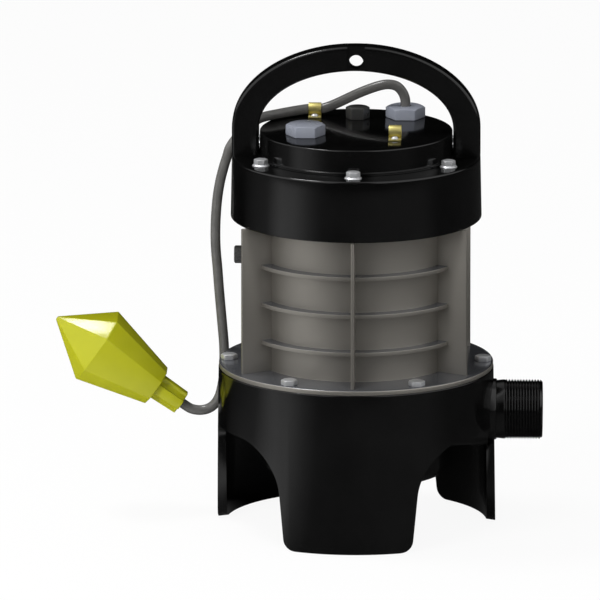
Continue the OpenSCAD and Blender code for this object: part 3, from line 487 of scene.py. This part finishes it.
def threaded_stub():
    step = THREAD_PITCH / THREAD_STEPS
    rows = int((THREAD_END - THREAD_START) / step)
    collar = rounded([(BORE_RADIUS, COLLAR_START), (COLLAR_RADIUS, COLLAR_START),
                      (COLLAR_RADIUS, THREAD_START, 0.7)])[1:]
    mouth = [(THREAD_RADIUS - MOUTH_DEPTH, THREAD_END), (BORE_RADIUS + BORE_CHAMFER, THREAD_END),
             (BORE_RADIUS, THREAD_END - BORE_CHAMFER), (BORE_RADIUS, COLLAR_START)]
    bm = bmesh.new()
    rings = []
    for k in range(THREAD_SIDES):
        turn = k / THREAD_SIDES
        angle = 2 * math.pi * turn
        thread = [(thread_radius(i * step, turn), THREAD_START + i * step) for i in range(rows + 1)]
        rings.append([
            bm.verts.new(Vector((axis_x + h * MM, -r * math.sin(angle) * MM, OUTLET_Z + r * math.cos(angle) * MM)))
            for r, h in collar + thread + mouth
        ])
    skin(bm, rings, closed=True)
    return finish_mesh("discharge_stub", bm, enamel, 50)


stub = report(threaded_stub())

# %% [markdown]
# Turned pieces are an outline spun round a line, as on a lathe. Holes and joints between pieces are cut or
# joined with a Boolean modifier, and the result is turned into a plain mesh at once, so that what the next
# step sees is what is there.

# %% Helpers for turning, cutting and joining
SEGMENTS = 160
HERE = (axis_x, 0, 0)
ORIGIN = (0, 0, 0)


def lathe(name, outline, material, segments=SEGMENTS, centre=HERE, axis="Z"):
    """Spins a closed outline of (radius, height) in millimetres round an axis through centre, in metres."""
    turn = Matrix.Identity(3) if axis == "Z" else Matrix.Rotation(math.radians(90), 3, "Y")
    bm = bmesh.new()
    rings = []
    for step in range(segments):
        angle = 2 * math.pi * step / segments
        rings.append([
            bm.verts.new(Vector(centre) + turn @ Vector((r * math.cos(angle), r * math.sin(angle), h)) * MM)
            for r, h in outline
        ])
    skin(bm, rings, closed=True)
    return finish_mesh(name, bm, material)


def block(low, high, turn=0, at=HERE):
    """A plain box between two corners in millimetres, turned about the upright axis, as a cutter or a rib."""
    bm = bmesh.new()
    bmesh.ops.create_cube(bm, size=1)
    low, high = Vector(low), Vector(high)
    for vert in bm.verts:
        vert.co = Vector(low[i] + (vert.co[i] + 0.5) * (high[i] - low[i]) for i in range(3)) * MM
    bmesh.ops.rotate(bm, verts=bm.verts, matrix=Matrix.Rotation(math.radians(turn), 3, "Z"))
    bmesh.ops.translate(bm, verts=bm.verts, vec=at)
    return bm


def apply_modifiers(piece):
    bpy.context.view_layer.update()
    evaluated = piece.evaluated_get(bpy.context.evaluated_depsgraph_get())
    mesh = bpy.data.meshes.new_from_object(evaluated)
    old = piece.data
    piece.modifiers.clear()
    piece.data = mesh
    bpy.data.meshes.remove(old)
    return piece


def combine(piece, other, operation):
    modifier = piece.modifiers.new("boolean", "BOOLEAN")
    modifier.operation = operation
    modifier.solver = "EXACT"
    modifier.object = other
    apply_modifiers(piece)
    bpy.data.objects.remove(other, do_unlink=True)
    return piece


def bevel_edges(piece, width_mm, angle=40, steps=2):
    modifier = piece.modifiers.new("bevel", "BEVEL")
    modifier.width = width_mm * MM
    modifier.segments = steps
    modifier.limit_method = "ANGLE"
    modifier.angle_limit = math.radians(angle)
    return apply_modifiers(piece)


# %% [markdown]
# The carry handle is a cast arch. Its long edges are well rounded for the hand, so it is built from
# cross-sections: each is a rounded rectangle between an inner and an outer half ellipse. A bevel on a flat
# arch would do too, but sections keep the rounding even where the arch gets wider.

# %% Carry handle, the arch
HANDLE_DEPTH = 17.4
HANDLE_OUTER = (99.9, 67.7)
HANDLE_INNER = (78.2, 47.4)
HANDLE_FOOT = 304.5
HANDLE_SPRING = 327.2
HANDLE_EDGE = 2.6
LEG_STEPS = 3
ARCH_STEPS = 64


def handle_stations():
    legs = [(0, HANDLE_FOOT + k * (HANDLE_SPRING - HANDLE_FOOT) / LEG_STEPS) for k in range(LEG_STEPS)]
    arch = [(180 * k / ARCH_STEPS, HANDLE_SPRING) for k in range(ARCH_STEPS + 1)]
    return legs + arch + [(180, z) for _, z in reversed(legs)]


def on_ellipse(size, angle, z):
    return Vector((size[0] * math.cos(angle), z + size[1] * math.sin(angle)))


def handle_arch():
    bm = bmesh.new()
    rings = []
    half = HANDLE_DEPTH / 2
    for degrees, z in handle_stations():
        outer = on_ellipse(HANDLE_OUTER, math.radians(degrees), z)
        inner = on_ellipse(HANDLE_INNER, math.radians(degrees), z)
        width = (outer - inner).length
        across = (outer - inner) / width
        section = rounded([
            (0, -half, HANDLE_EDGE), (width, -half, HANDLE_EDGE),
            (width, half, HANDLE_EDGE), (0, half, HANDLE_EDGE),
        ], 6)
        rings.append([
            bm.verts.new(row_point(inner.x + across.x * s, y, inner.y + across.y * s)) for s, y in section
        ])
    skin(bm, rings)
    return finish_mesh("handle_arch", bm, enamel_handle)


handle = handle_arch()

# %% [markdown]
# In the middle the handle has a shallow recess on both faces and a hole through it, for a lowering rope.

# %% Carry handle, recess and hole
EYE_Z = 382.0
EYE_RADIUS = 5.75
EYE_REACH = 20
PAST_FACE = 5
RECESS_WIDTH = 14.2
RECESS_DEPTH = 2.7
RECESS_Z = (360, 400)

for side in (-1, 1):
    face = side * HANDLE_DEPTH / 2
    low, high = sorted((face - side * RECESS_DEPTH, face + side * PAST_FACE))
    recess = block((-RECESS_WIDTH / 2, low, RECESS_Z[0]), (RECESS_WIDTH / 2, high, RECESS_Z[1]))
    combine(handle, finish_mesh("cutter", recess, enamel_handle), "DIFFERENCE")
eye = lathe("cutter", [(0, -EYE_REACH), (EYE_RADIUS, -EYE_REACH), (EYE_RADIUS, EYE_REACH), (0, EYE_REACH)],
            enamel_handle, 64, ORIGIN, "X")
eye.data.transform(Matrix.Translation((axis_x, 0, EYE_Z * MM)) @ Matrix.Rotation(math.radians(90), 4, "Z"))
combine(handle, eye, "DIFFERENCE")
report(smooth(handle, 32))

# %% [markdown]
# The cap closes the motor and the terminal cover closes the cap. Both are turned after casting, so a spun
# outline gives them as they are made, with a small rounding at the upper edges.

# %% Cap and cover
CAP_TOP = 304.5
COVER_TOP = 325.0

cap = report(lathe("cap_shell", rounded([
    (101, 254.5, 0.8), (100, CAP_TOP, 1.6), (58, CAP_TOP), (58, 298.5), (97, 298.5), (97, 254.5, 0.4),
]), enamel))
cover = report(lathe("terminal_lid", rounded([
    (79.6, CAP_TOP, 0.3), (79.6, 306.7, 0.25), (77.5, 306.7, 0.3), (77.5, COVER_TOP, 1.0), (0, COVER_TOP),
    (0, 319), (72, 319), (72, CAP_TOP),
]), enamel))

# %% [markdown]
# The casing is a tube with a flat flange. Three cooling rings and six upright fins carry the heat into the
# water. The rings are turned with the tube, so they are corners of the same outline. The fins are flat bars
# that run out past the rings, joined to the tube one after the other.

# %% Motor casing
TUBE_RADIUS = 78
TUBE_BORE = 73
FLANGE_RADIUS = 110.5
FLANGE_FOOT = 131
CASING_TOP = 254.5
RING_RADIUS = 87.5
RING_THICK = 3.5
RING_TOPS = (161.3, 192.3, 223.3)
RING_EDGE = 0.5
RING_ROOT = 0.2
FIN_HALF = 1.4
FIN_REACH = 104.5
FIN_ROOT = 76
FIN_FOOT = 134.6
FIN_TOP = 254.4
FIN_EDGE = 0.7

ring_corners = [
    corner for top in RING_TOPS for corner in (
        (TUBE_RADIUS, top - RING_THICK, RING_ROOT), (RING_RADIUS, top - RING_THICK, RING_EDGE),
        (RING_RADIUS, top, RING_EDGE), (TUBE_RADIUS, top, RING_ROOT),
    )
]
casing = lathe("casing_shell", rounded([
    (TUBE_BORE, FLANGE_FOOT), (FLANGE_RADIUS, FLANGE_FOOT, 0.5), (FLANGE_RADIUS, FLANGE_TOP, 1.2),
    (TUBE_RADIUS, FLANGE_TOP, 0.3), *ring_corners, (TUBE_RADIUS, CASING_TOP, 1.0), (96.5, CASING_TOP),
    (96.5, 264.5), (80, 264.5), (80, 256.5), (TUBE_BORE, 256.5),
]), casing_metal)
for turn in range(0, 360, 60):
    bar = block((-FIN_HALF, -FIN_REACH, FIN_FOOT), (FIN_HALF, -FIN_ROOT, FIN_TOP), turn)
    fin = bevel_edges(finish_mesh("fin", bar, casing_metal), FIN_EDGE)
    combine(casing, fin, "UNION")
report(smooth(casing, 30))

# %% [markdown]
# The flange's top and the tops of the rings are faced smooth on the lathe and mirror what stands on them, so these
# faces take a glossier material. Its colour is also darker than the casing metal's, which is painted shade on the
# faces that point up.

# %% Faces turned smooth, with painted shade
FACED_AND_SHADED_FROM = 78.5
FACED_AND_SHADED_BELOW = 225
FACING_UP = 0.7

# The faces picked below get a glossier and darker metal. The darker colour is painted shade.
casing.data.materials.append(faced_metal_with_painted_shade)
for face in casing.data.polygons:
    radius = math.hypot(face.center.x - axis_x, face.center.y)
    if radius > FACED_AND_SHADED_FROM * MM and face.center.z < FACED_AND_SHADED_BELOW * MM and face.normal.z > FACING_UP:
        face.material_index = 1
print("smooth faces", sum(face.material_index for face in casing.data.polygons))

# %% [markdown]
# The base is a skirt with three arches cut out of it, which leaves three feet. An arch has leaning sides, a
# rounded foot on each side and a wide corner at the top, so its outline is drawn once for each side and pushed
# through the skirt. The two arches beside the front foot have a tighter corner on their far side.

# %% Arches of the base
FOOT_TURN = -2
ARCH_TOP = 85.0
ARCH_HALF = 60.9
ARCH_LEAN = math.radians(6)
FOOT_ROUND = 10.0
BIG_CORNER = 44.0
SMALL_CORNER = 18.0
CUT_FROM, CUT_TO = -60, -180
BELOW_FLOOR = -4.0
FOOT_STEPS = 8
CORNER_STEPS = 16


def arch_side(corner):
    centre_x = ARCH_HALF + FOOT_ROUND * (1 - math.sin(ARCH_LEAN)) / math.cos(ARCH_LEAN)
    points = [(centre_x, BELOW_FLOOR)]
    for k in range(FOOT_STEPS + 1):
        a = math.radians(270) + (ARCH_LEAN - math.radians(90)) * k / FOOT_STEPS
        points.append((centre_x + FOOT_ROUND * math.cos(a), FOOT_ROUND + FOOT_ROUND * math.sin(a)))
    top_x = ARCH_HALF - (corner + (ARCH_TOP - corner) * math.sin(ARCH_LEAN)) / math.cos(ARCH_LEAN)
    for k in range(CORNER_STEPS + 1):
        a = ARCH_LEAN + (math.pi / 2 - ARCH_LEAN) * k / CORNER_STEPS
        points.append((top_x + corner * math.cos(a), ARCH_TOP - corner + corner * math.sin(a)))
    return points


def arch_cutter(turn, left, right):
    outline = arch_side(right) + [(-x, z) for x, z in reversed(arch_side(left))]
    bm = bmesh.new()
    skin(bm, [[bm.verts.new(Vector((x, y, z)) * MM) for x, z in outline] for y in (CUT_FROM, CUT_TO)])
    bmesh.ops.rotate(bm, verts=bm.verts, matrix=Matrix.Rotation(math.radians(turn + FOOT_TURN), 3, "Z"))
    bmesh.ops.translate(bm, verts=bm.verts, vec=HERE)
    return finish_mesh("cutter", bm, enamel)


# %% [markdown]
# The skirt itself is a turned casting with a slight taper, so that it comes out of its mould. Its lower edge
# and the arches' edges are rounded by a bevel after the cut, because the cut makes them.

# %% Skirt
SKIRT_SEGMENTS = 192

base = lathe("base_skirt", rounded([
    (112.5, 0, 1.2), (110.8, FLANGE_FOOT, 1.0), (94, FLANGE_FOOT), (72, FLANGE_FOOT), (72, 121), (105.2, 121, 3),
    (105.4, 0, 1.2),
]), enamel, SKIRT_SEGMENTS)
for turn, left, right in ((-60, SMALL_CORNER, BIG_CORNER), (60, BIG_CORNER, SMALL_CORNER),
                          (180, BIG_CORNER, BIG_CORNER)):
    combine(base, arch_cutter(turn, left, right), "DIFFERENCE")
report(smooth(bevel_edges(base, 1.0, 50, 3)))

# %% [markdown]
# Inside the skirt hangs the volute, the snail-shaped housing round the impeller, with the boss that carries
# the discharge. Seen through the arches it is a round drum, so it is turned, and the boss is joined to it.

# %% Volute
VOLUTE_RADIUS = 76.5
VOLUTE_FOOT = 45
BOSS_RADIUS = 30
BOSS_BORE = 19.2
IMPELLER_ROOM = 60
OUTLET = (axis_x, 0, OUTLET_Z)


def rod(radius, start, end, centre=HERE, axis="Z"):
    return lathe("cutter", [(0, start), (radius, start), (radius, end), (0, end)], enamel, 96, centre, axis)


volute = lathe("volute", rounded([
    (54, VOLUTE_FOOT), (VOLUTE_RADIUS, VOLUTE_FOOT, 8), (VOLUTE_RADIUS, 125), (54, 125),
], 6), enamel)
combine(volute, rod(BOSS_RADIUS, 60, 107, OUTLET, "X"), "UNION")
combine(volute, rod(BOSS_BORE, 40, 120, OUTLET, "X"), "DIFFERENCE")
combine(volute, rod(IMPELLER_ROOM, 40, 130), "DIFFERENCE")
report(smooth(volute, 30))

# %% [markdown]
# Hex nuts and bolt heads are cut from hexagon bar, and a cone takes off the corners of their top face. The
# meeting of cone and flats gives the curved edges that every real nut has. So a six-sided bar is kept only
# where it lies inside a turned cone, and its edges are then lightly rounded.

# %% Nuts and plug on the cover
CONE_SLOPE = 0.6
CONE_EDGE = 0.6


def hexagon(name, across_flats, height, material, chamfer, hole=0.0, edge=0.35, lift=0.0):
    flat = across_flats / 2
    corner = flat / math.cos(math.radians(30))
    top = lift + height
    bm = bmesh.new()
    bmesh.ops.create_cone(bm, cap_ends=True, segments=6, radius1=corner * MM, radius2=corner * MM,
                          depth=height * MM)
    bmesh.ops.translate(bm, verts=bm.verts, vec=(0, 0, (height / 2 + lift) * MM))
    bmesh.ops.rotate(bm, verts=bm.verts, matrix=Matrix.Rotation(math.radians(30), 3, "Z"))
    nut = bevel_edges(finish_mesh(name, bm, material), edge, 40, 3)
    cone = lathe("cone", [(0, lift - 1), (corner + 2, lift - 1), (corner + 2, top - chamfer),
                          (flat - chamfer * CONE_SLOPE, top), (0, top)], material, 96, ORIGIN)
    combine(nut, cone, "INTERSECT")
    if hole:
        drill = [(0, lift - 2), (hole, lift - 2), (hole, top + 2), (0, top + 2)]
        combine(nut, lathe("drill", drill, material, 64, ORIGIN), "DIFFERENCE")
    return smooth(bevel_edges(nut, edge * CONE_EDGE, 24), 22)


def put_at(piece, x, y, z):
    piece.data.transform(Matrix.Translation(row_point(x, y, z)))
    return piece


NUT_FLATS = 28
NUT_HEIGHT = 9.5
PLUG_FLATS = 17
CABLE_HOLE = 4.15

float_nut = put_at(hexagon("float_cable_nut", NUT_FLATS, NUT_HEIGHT, nut_plastic, 2.2, CABLE_HOLE, 0.8),
                   38.4, 47.1, COVER_TOP)
mains_nut = put_at(hexagon("mains_cable_nut", NUT_FLATS, NUT_HEIGHT, nut_plastic, 2.2, 0, 0.8),
                   -40.2, -19.8, COVER_TOP)
plug_head = put_at(hexagon("test_plug_head", PLUG_FLATS, NUT_HEIGHT, dark_plug, 1.4, 0, 0.5), 0, 43, COVER_TOP)
for piece in (float_nut, mains_nut, plug_head):
    report(piece)

# %% [markdown]
# The bolts repeat round two circles. Geometry Nodes put a copy of one bolt on each point of a circle, and the
# result is turned into a plain mesh, so that it travels like any other piece. A loop in Python could place
# them too, but a node tree with named inputs can be tried out by hand in Blender.

# %% A tree that puts bolts on a circle
def ring_tree():
    tree = bpy.data.node_groups.new("bolts on a circle", "GeometryNodeTree")
    for name, kind in (("Count", "NodeSocketInt"), ("Radius", "NodeSocketFloat"), ("Height", "NodeSocketFloat"),
                       ("First Angle", "NodeSocketFloat"), ("Bolt", "NodeSocketObject"),
                       ("Finish", "NodeSocketMaterial")):
        tree.interface.new_socket(name, in_out="INPUT", socket_type=kind)
    tree.interface.new_socket("Geometry", in_out="OUTPUT", socket_type="NodeSocketGeometry")
    given = put(tree, "NodeGroupInput")
    circle = put(tree, "GeometryNodeMeshCircle",
                 {"Vertices": given.outputs["Count"], "Radius": given.outputs["Radius"]})
    lifted = put(tree, "ShaderNodeCombineXYZ", {"X": axis_x, "Z": given.outputs["Height"]})
    turned = put(tree, "ShaderNodeCombineXYZ", {"Z": given.outputs["First Angle"]})
    placed = put(tree, "GeometryNodeTransform", {
        "Geometry": circle.outputs["Mesh"], "Translation": lifted.outputs["Vector"],
        "Rotation": turned.outputs["Vector"]})
    bolt = put(tree, "GeometryNodeObjectInfo", {"Object": given.outputs["Bolt"]}, transform_space="ORIGINAL")
    copies = put(tree, "GeometryNodeInstanceOnPoints",
                 {"Points": placed.outputs["Geometry"], "Instance": bolt.outputs["Geometry"]})
    real = put(tree, "GeometryNodeRealizeInstances", {"Geometry": copies.outputs["Instances"]})
    painted = put(tree, "GeometryNodeSetMaterial",
                  {"Geometry": real.outputs["Geometry"], "Material": given.outputs["Finish"]})
    put(tree, "NodeGroupOutput", {"Geometry": painted.outputs["Geometry"]})
    return tree


bolt_ring = ring_tree()
print("tree", bolt_ring.name, len(bolt_ring.nodes), "nodes")

# %% [markdown]
# Six bolts with a flange under the head hold the cap, and six plain ones hold the casing's flange on the base.
# Both kinds are zinc plated.

# %% Bolts on circles
BOLT_COUNT = 6
CAP_BOLT_CIRCLE = 87
FLANGE_BOLT_CIRCLE = 102.4


def bolts_on_circle(name, bolt, radius, height, first):
    holder = bpy.data.objects.new(name, bpy.data.meshes.new(name))
    bpy.context.collection.objects.link(holder)
    modifier = holder.modifiers.new("ring", "NODES")
    modifier.node_group = bolt_ring
    values = {"Count": BOLT_COUNT, "Radius": radius * MM, "Height": height * MM,
              "First Angle": math.radians(first), "Bolt": bolt, "Finish": zinc}
    for item in bolt_ring.interface.items_tree:
        if item.in_out == "INPUT":
            modifier[item.identifier] = values[item.name]
    apply_modifiers(holder)
    bpy.data.objects.remove(bolt, do_unlink=True)
    return report(smooth(holder, 24))


def flanged_bolt():
    washer = [(0, 0), (7, 0, 0.3), (7, 0.7, 0.35), (5.2, 1.9, 0.5), (0, 1.9)]
    return combine(hexagon("bolt", 10, 4.6, zinc, 1.2, 0, 0.4, 1.2),
                   lathe("washer", rounded(washer), zinc, 48, ORIGIN), "UNION")


plain_bolt = hexagon("bolt", 11.8, 4.4, zinc, 1.6, 0, 0.5)
cap_bolt_ring = bolts_on_circle("cap_bolt_heads", flanged_bolt(), CAP_BOLT_CIRCLE, CAP_TOP, 30)
flange_bolt_ring = bolts_on_circle("flange_bolt_heads", plain_bolt, FLANGE_BOLT_CIRCLE, FLANGE_TOP, 0)

# %% [markdown]
# Each cable clip is a strip of passivated steel bent round the cable, with one screw through its tab. The
# strip's side view is drawn once and pushed out to the strip's width, as a bending tool would form it.

# %% Cable clips
CLIP_WIDTH = 10.2
CLIP_LOOP = 5.2
CLIP_THICK = 1.1
CLIP_REACH = 9.2
CLIP_PAST_SCREW = 3.6
CLIP_BENDS = 32
CLIP_TURN = 330
CLIP_SPOTS = {"clip_rear": (-34.7, 52.2), "clip_front": (32.1, -28.4)}


def clip_outline():
    def bend(radius):
        turns = (math.radians(270 + CLIP_TURN * k / CLIP_BENDS) for k in range(CLIP_BENDS + 1))
        return [(math.cos(a) * radius, CLIP_LOOP + math.sin(a) * radius) for a in turns]

    tab = -CLIP_REACH - CLIP_PAST_SCREW
    return [(tab, 0)] + bend(CLIP_LOOP) + bend(CLIP_LOOP - CLIP_THICK)[::-1] + [(tab, CLIP_THICK)]


def cable_clip(name, x, y):
    outline = clip_outline()
    bm = bmesh.new()
    skin(bm, [[bm.verts.new(Vector((w, p, q)) * MM) for p, q in outline] for w in (-CLIP_WIDTH / 2, CLIP_WIDTH / 2)])
    clip = bevel_edges(finish_mesh(name, bm, yellow_steel), 0.22, 50)
    return put_at(smooth(clip, 30), x, y, COVER_TOP)


clips = {name: report(cable_clip(name, *spot)) for name, spot in CLIP_SPOTS.items()}

# %% [markdown]
# The clip screws have a round head with a cross slot, which two thin blocks cut. One head is made and copied
# to both clips.

# %% Clip screws
SCREW_HEAD = [(0, 0), (2.9, 0), (2.9, 0.8, 0.3), (1.9, 1.9, 0.8), (0, 2.05)]
SLOT_LOW, SLOT_HIGH = (-1.7, -0.35, 1.1), (1.7, 0.35, 3)
SLOT_TURN = 35


def cross_screws(name, spots):
    head = lathe(name, rounded(SCREW_HEAD, 5), zinc, 48, ORIGIN)
    for turn in (SLOT_TURN, SLOT_TURN + 90):
        combine(head, finish_mesh("cutter", block(SLOT_LOW, SLOT_HIGH, turn, ORIGIN), zinc), "DIFFERENCE")
    bm = bmesh.new()
    for x, y in spots:
        copy = head.data.copy()
        copy.transform(Matrix.Translation(row_point(x, y, COVER_TOP + CLIP_THICK)))
        bm.from_mesh(copy)
    bpy.data.objects.remove(head, do_unlink=True)
    return finish_mesh(name, bm, zinc, 30)


clip_screw_heads = report(cross_screws("clip_screw_heads", [(x, y - CLIP_REACH) for x, y in CLIP_SPOTS.values()]))

# %% [markdown]
# The float is a hollow plastic shell that lifts the cable when the water rises. Its section is a square with
# cut corners, which grows along the cone and shrinks to the tip of the nose. Three such sections are joined by
# flat faces, as in the mould, and a bevel rounds the edges.

# %% Float shell
CORNER_CUT = 0.27


def on_float(x, y, along):
    """A point given in millimetres across and along the float."""
    return pivot + float_turn @ (Vector((x, y, along)) * MM)


def float_section(width):
    h, c = width / 2, width * CORNER_CUT
    return [(h, c), (c, h), (-c, h), (-h, c), (-h, -c), (-c, -h), (c, -h), (h, -c)]


def loft(name, sections, bevel, limit, steps, angle):
    """Flat faces between sections, each a ring of (x, y) and its distance along the float."""
    bm = bmesh.new()
    skin(bm, [[bm.verts.new(on_float(x, y, along)) for x, y in ring] for ring, along in sections])
    return smooth(bevel_edges(finish_mesh(name, bm, float_skin), bevel, limit, steps), angle)


float_shell = report(loft("float_shell", [
    (float_section(31), 29.5), (float_section(58.5), 88), (float_section(3), 127.5),
], 1.2, 12, 4, 20))

# %% [markdown]
# The collet grips the cable with four fingers. Its section is a cross of ribs, a little slimmer where the
# cable enters.

# %% Float collet
GRIP_START = 5
GRIP_END = 30.5
GRIP_TAPER = 0.93
FINGER = ((-0.5, 8.6), (-0.42, 11.2), (0.42, 11.2), (0.5, 8.6))

cross = [
    (radius * math.cos(math.radians(90 * k) + off), radius * math.sin(math.radians(90 * k) + off))
    for k in range(4) for off, radius in FINGER
]
grip = report(loft("float_grip", [
    ([(x * GRIP_TAPER, y * GRIP_TAPER) for x, y in cross], GRIP_START), (cross, GRIP_END),
], 0.7, 25, 3, 24))

# %% [markdown]
# Each piece now rides on the part of the pump that carries it, and takes the place of the plain solid that
# stood for it. The volute has no solid of its own to replace, because it is part of the base.

# %% Ride and replace
for piece, slot, nodes in (
    (stub, "outlet_black", ["discharge_nipple"]),
    (handle, "cap_black", ["carry_handle", "handle_legs"]),
    (cap, "cap_black", ["top_cap"]),
    (cover, "cap_black", ["terminal_cover"]),
    (casing, "casing_metal", ["motor_casing", "cooling_rings", "cooling_fins"]),
    (base, "base_black", ["pump_base"]),
    (volute, "base_black", []),
    (float_nut, "fitting_metal", ["float_gland_nut"]),
    (mains_nut, "fitting_metal", ["mains_gland_nut"]),
    (plug_head, "plug_dark", ["test_plug"]),
    (cap_bolt_ring, "zinc_bolt", ["cap_bolts"]),
    (flange_bolt_ring, "zinc_bolt", ["flange_bolts"]),
    (clips["clip_rear"], "clip_brass", ["cable_clip_rear"]),
    (clips["clip_front"], "clip_brass", ["cable_clip_front"]),
    (clip_screw_heads, "zinc_bolt", ["clip_screws"]),
):
    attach(piece, "pump")
    if nodes:
        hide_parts(*nodes)
    print(piece.name, "replaces", len(nodes), "nodes")
for piece, nodes in ((float_shell, ["float_nose", "float_cone"]), (grip, ["float_collet"])):
    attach(piece, "float")
    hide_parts(*nodes)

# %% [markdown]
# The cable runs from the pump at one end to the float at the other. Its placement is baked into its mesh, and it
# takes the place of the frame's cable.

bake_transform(cable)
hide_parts("float_cable")

# %% [markdown]
# The pump stands on a white floor, which the picture shows as pure white with a faint soft shadow. Black
# enamel and bare metal are only as light as what they mirror. So in reflections, floor and world show a studio
# round the pump: the floor has a bright soft panel on the left and dim ones elsewhere, given by direction.

# %% Light that the floor shows in reflections
PANELS = ((-180, 0.02), (-122, 0.0), (-105, 0.06), (-86, 0.16), (-70, 0.7), (-56, 0.66), (-40, 0.24),
          (-30, 0.08), (-12, 0.06), (10, 0.09), (62, 0.12), (80, 0.04), (180, 0.02))
FRONT_AHEAD = (0, 0, math.radians(90))


def panel_light(tree, direction):
    """The strength of the studio round the pump: 0 degrees is the front, and the right is positive."""
    turned = put(tree, "ShaderNodeMapping", {"Vector": direction, "Rotation": FRONT_AHEAD})
    angle = put(tree, "ShaderNodeTexGradient", {"Vector": turned.outputs["Vector"]}, gradient_type="RADIAL")
    ramp = put(tree, "ShaderNodeValToRGB", {"Fac": angle.outputs["Fac"]})
    stops = ramp.color_ramp.elements
    stops.remove(stops[1])
    for degrees, level in PANELS:
        stop = stops.new(degrees / 360 + 0.5)
        stop.color = (level, level, level, 1)
    stops.remove(stops[0])
    return ramp.outputs["Color"]


# %% [markdown]
# The camera sees the floor almost as a plain white light, and a trace of the real surface keeps the pump's
# shadow. A reflection sees the panels.

# %% Floor
FLOOR_HALF = 6
FLOOR_WHITE = 0.92


def floor_material():
    material, tree, shader = new_material("white floor", "#ffffff", 0.9)
    path = put(tree, "ShaderNodeLightPath")
    white = put(tree, "ShaderNodeEmission", {"Color": (1, 1, 1, 1), "Strength": 1.0})
    where = put(tree, "ShaderNodeTexCoord")
    mirrored = put(tree, "ShaderNodeEmission", {"Color": panel_light(tree, where.outputs["Object"])})
    seen = put(tree, "ShaderNodeMath", {0: path.outputs["Is Camera Ray"], 1: FLOOR_WHITE}, operation="MULTIPLY")
    plain = put(tree, "ShaderNodeMixShader", {
        0: seen.outputs[0], 1: shader.outputs["BSDF"], 2: white.outputs["Emission"]})
    final = put(tree, "ShaderNodeMixShader", {
        0: path.outputs["Is Glossy Ray"], 1: plain.outputs["Shader"], 2: mirrored.outputs["Emission"]})
    tree.links.new(final.outputs["Shader"], tree.nodes["Material Output"].inputs["Surface"])
    return material


bm = bmesh.new()
bmesh.ops.create_grid(bm, x_segments=1, y_segments=1, size=FLOOR_HALF)
finish_mesh("floor", bm, floor_material())
print("floor panels", len(PANELS))

# %% [markdown]
# The world lights the pump evenly from all round. The camera and clear materials see it as white, and a
# reflection sees two bright walls and a dimmer ceiling, so that metal has something to mirror.

# %% World
FILL_LIGHT = 0.45
WALL_LIGHT = 1.0
WALL_FROM = math.radians(14)
WALL_TO = math.radians(110)
WALL_RISE = 0.2
WALL_FADE = 0.3
WALL_FOOT = 0.06
FOOT_RISE = 0.06
CEILING_LIGHT = 0.4
CEILING_FROM = 0.55
CEILING_FULL = 0.8


def wall_light(tree, direction):
    """Two bright walls, left and right of the front, from a little above the floor, and a dimmer ceiling."""
    turned = put(tree, "ShaderNodeMapping", {"Vector": direction, "Rotation": FRONT_AHEAD})
    split = put(tree, "ShaderNodeSeparateXYZ", {"Vector": turned.outputs["Vector"]})
    side = put(tree, "ShaderNodeMath", {0: split.outputs["Y"], 1: split.outputs["X"]}, operation="ARCTAN2")
    away = put(tree, "ShaderNodeMath", {0: side.outputs[0]}, operation="ABSOLUTE")
    levels = []
    for value, start, end, low, high in (
        (away.outputs[0], WALL_FROM, WALL_FROM + WALL_RISE, 0.0, 1.0),
        (away.outputs[0], WALL_TO, WALL_TO + WALL_FADE, WALL_LIGHT, 0.0),
        (split.outputs["Z"], WALL_FOOT, WALL_FOOT + FOOT_RISE, 0.0, 1.0),
        (split.outputs["Z"], CEILING_FROM, CEILING_FULL, 0.0, CEILING_LIGHT),
    ):
        levels.append(put(tree, "ShaderNodeMapRange", {
            "Value": value, "From Min": start, "From Max": end, "To Min": low, "To Max": high}).outputs["Result"])
    light = levels[0]
    for level, operation in zip(levels[1:], ("MULTIPLY", "MULTIPLY", "MAXIMUM")):
        light = put(tree, "ShaderNodeMath", {0: light, 1: level}, operation=operation).outputs[0]
    return light


def set_world():
    world = bpy.data.worlds.new("studio")
    bpy.context.scene.world = world
    world.use_nodes = True
    tree = world.node_tree
    path = put(tree, "ShaderNodeLightPath")
    white = put(tree, "ShaderNodeMath", {
        0: path.outputs["Is Camera Ray"], 1: path.outputs["Is Transmission Ray"]}, operation="MAXIMUM")
    level = put(tree, "ShaderNodeMapRange", {"Value": white.outputs[0], "To Min": FILL_LIGHT, "To Max": 1.0})
    where = put(tree, "ShaderNodeTexCoord")
    plain = tree.nodes["Background"]
    plain.inputs["Color"].default_value = (1, 1, 1, 1)
    tree.links.new(level.outputs["Result"], plain.inputs["Strength"])
    mirrored = put(tree, "ShaderNodeBackground", {
        "Color": (1, 1, 1, 1), "Strength": wall_light(tree, where.outputs["Generated"])})
    mix = put(tree, "ShaderNodeMixShader", {
        0: path.outputs["Is Glossy Ray"], 1: plain.outputs["Background"], 2: mirrored.outputs["Background"]})
    tree.links.new(mix.outputs["Shader"], tree.nodes["World Output"].inputs["Surface"])
    return world


print("world", set_world().name)

# %% [markdown]
# Three soft lamps light the pump from the front and from above. Only the highlights on the float, the nuts and
# the rounded edges show the top one. The two in front aren't mirrored, because black enamel would show them
# as bright patches.

# %% Lamps
LAMP_AIM = Vector((0, 0, 0.2))


def add_lamp(name, location, size, power, mirrored):
    data = bpy.data.lights.new(name, "AREA")
    data.shape = "RECTANGLE"
    data.size, data.size_y = size
    data.energy = power
    lamp = bpy.data.objects.new(name, data)
    bpy.context.collection.objects.link(lamp)
    lamp.location = location
    lamp.rotation_euler = (LAMP_AIM - Vector(location)).to_track_quat("-Z", "Y").to_euler()
    lamp.visible_glossy = mirrored
    print(name, power, "W")


add_lamp("softbox_front_left", (-1.9, -2.3, 1.3), (1.2, 1.4), 54, False)
add_lamp("softbox_front_right", (1.4, -2.6, 0.9), (0.8, 1.2), 13, False)
add_lamp("softbox_top", (-0.88, 0.21, 2.3), (0.5, 0.5), 19, True)
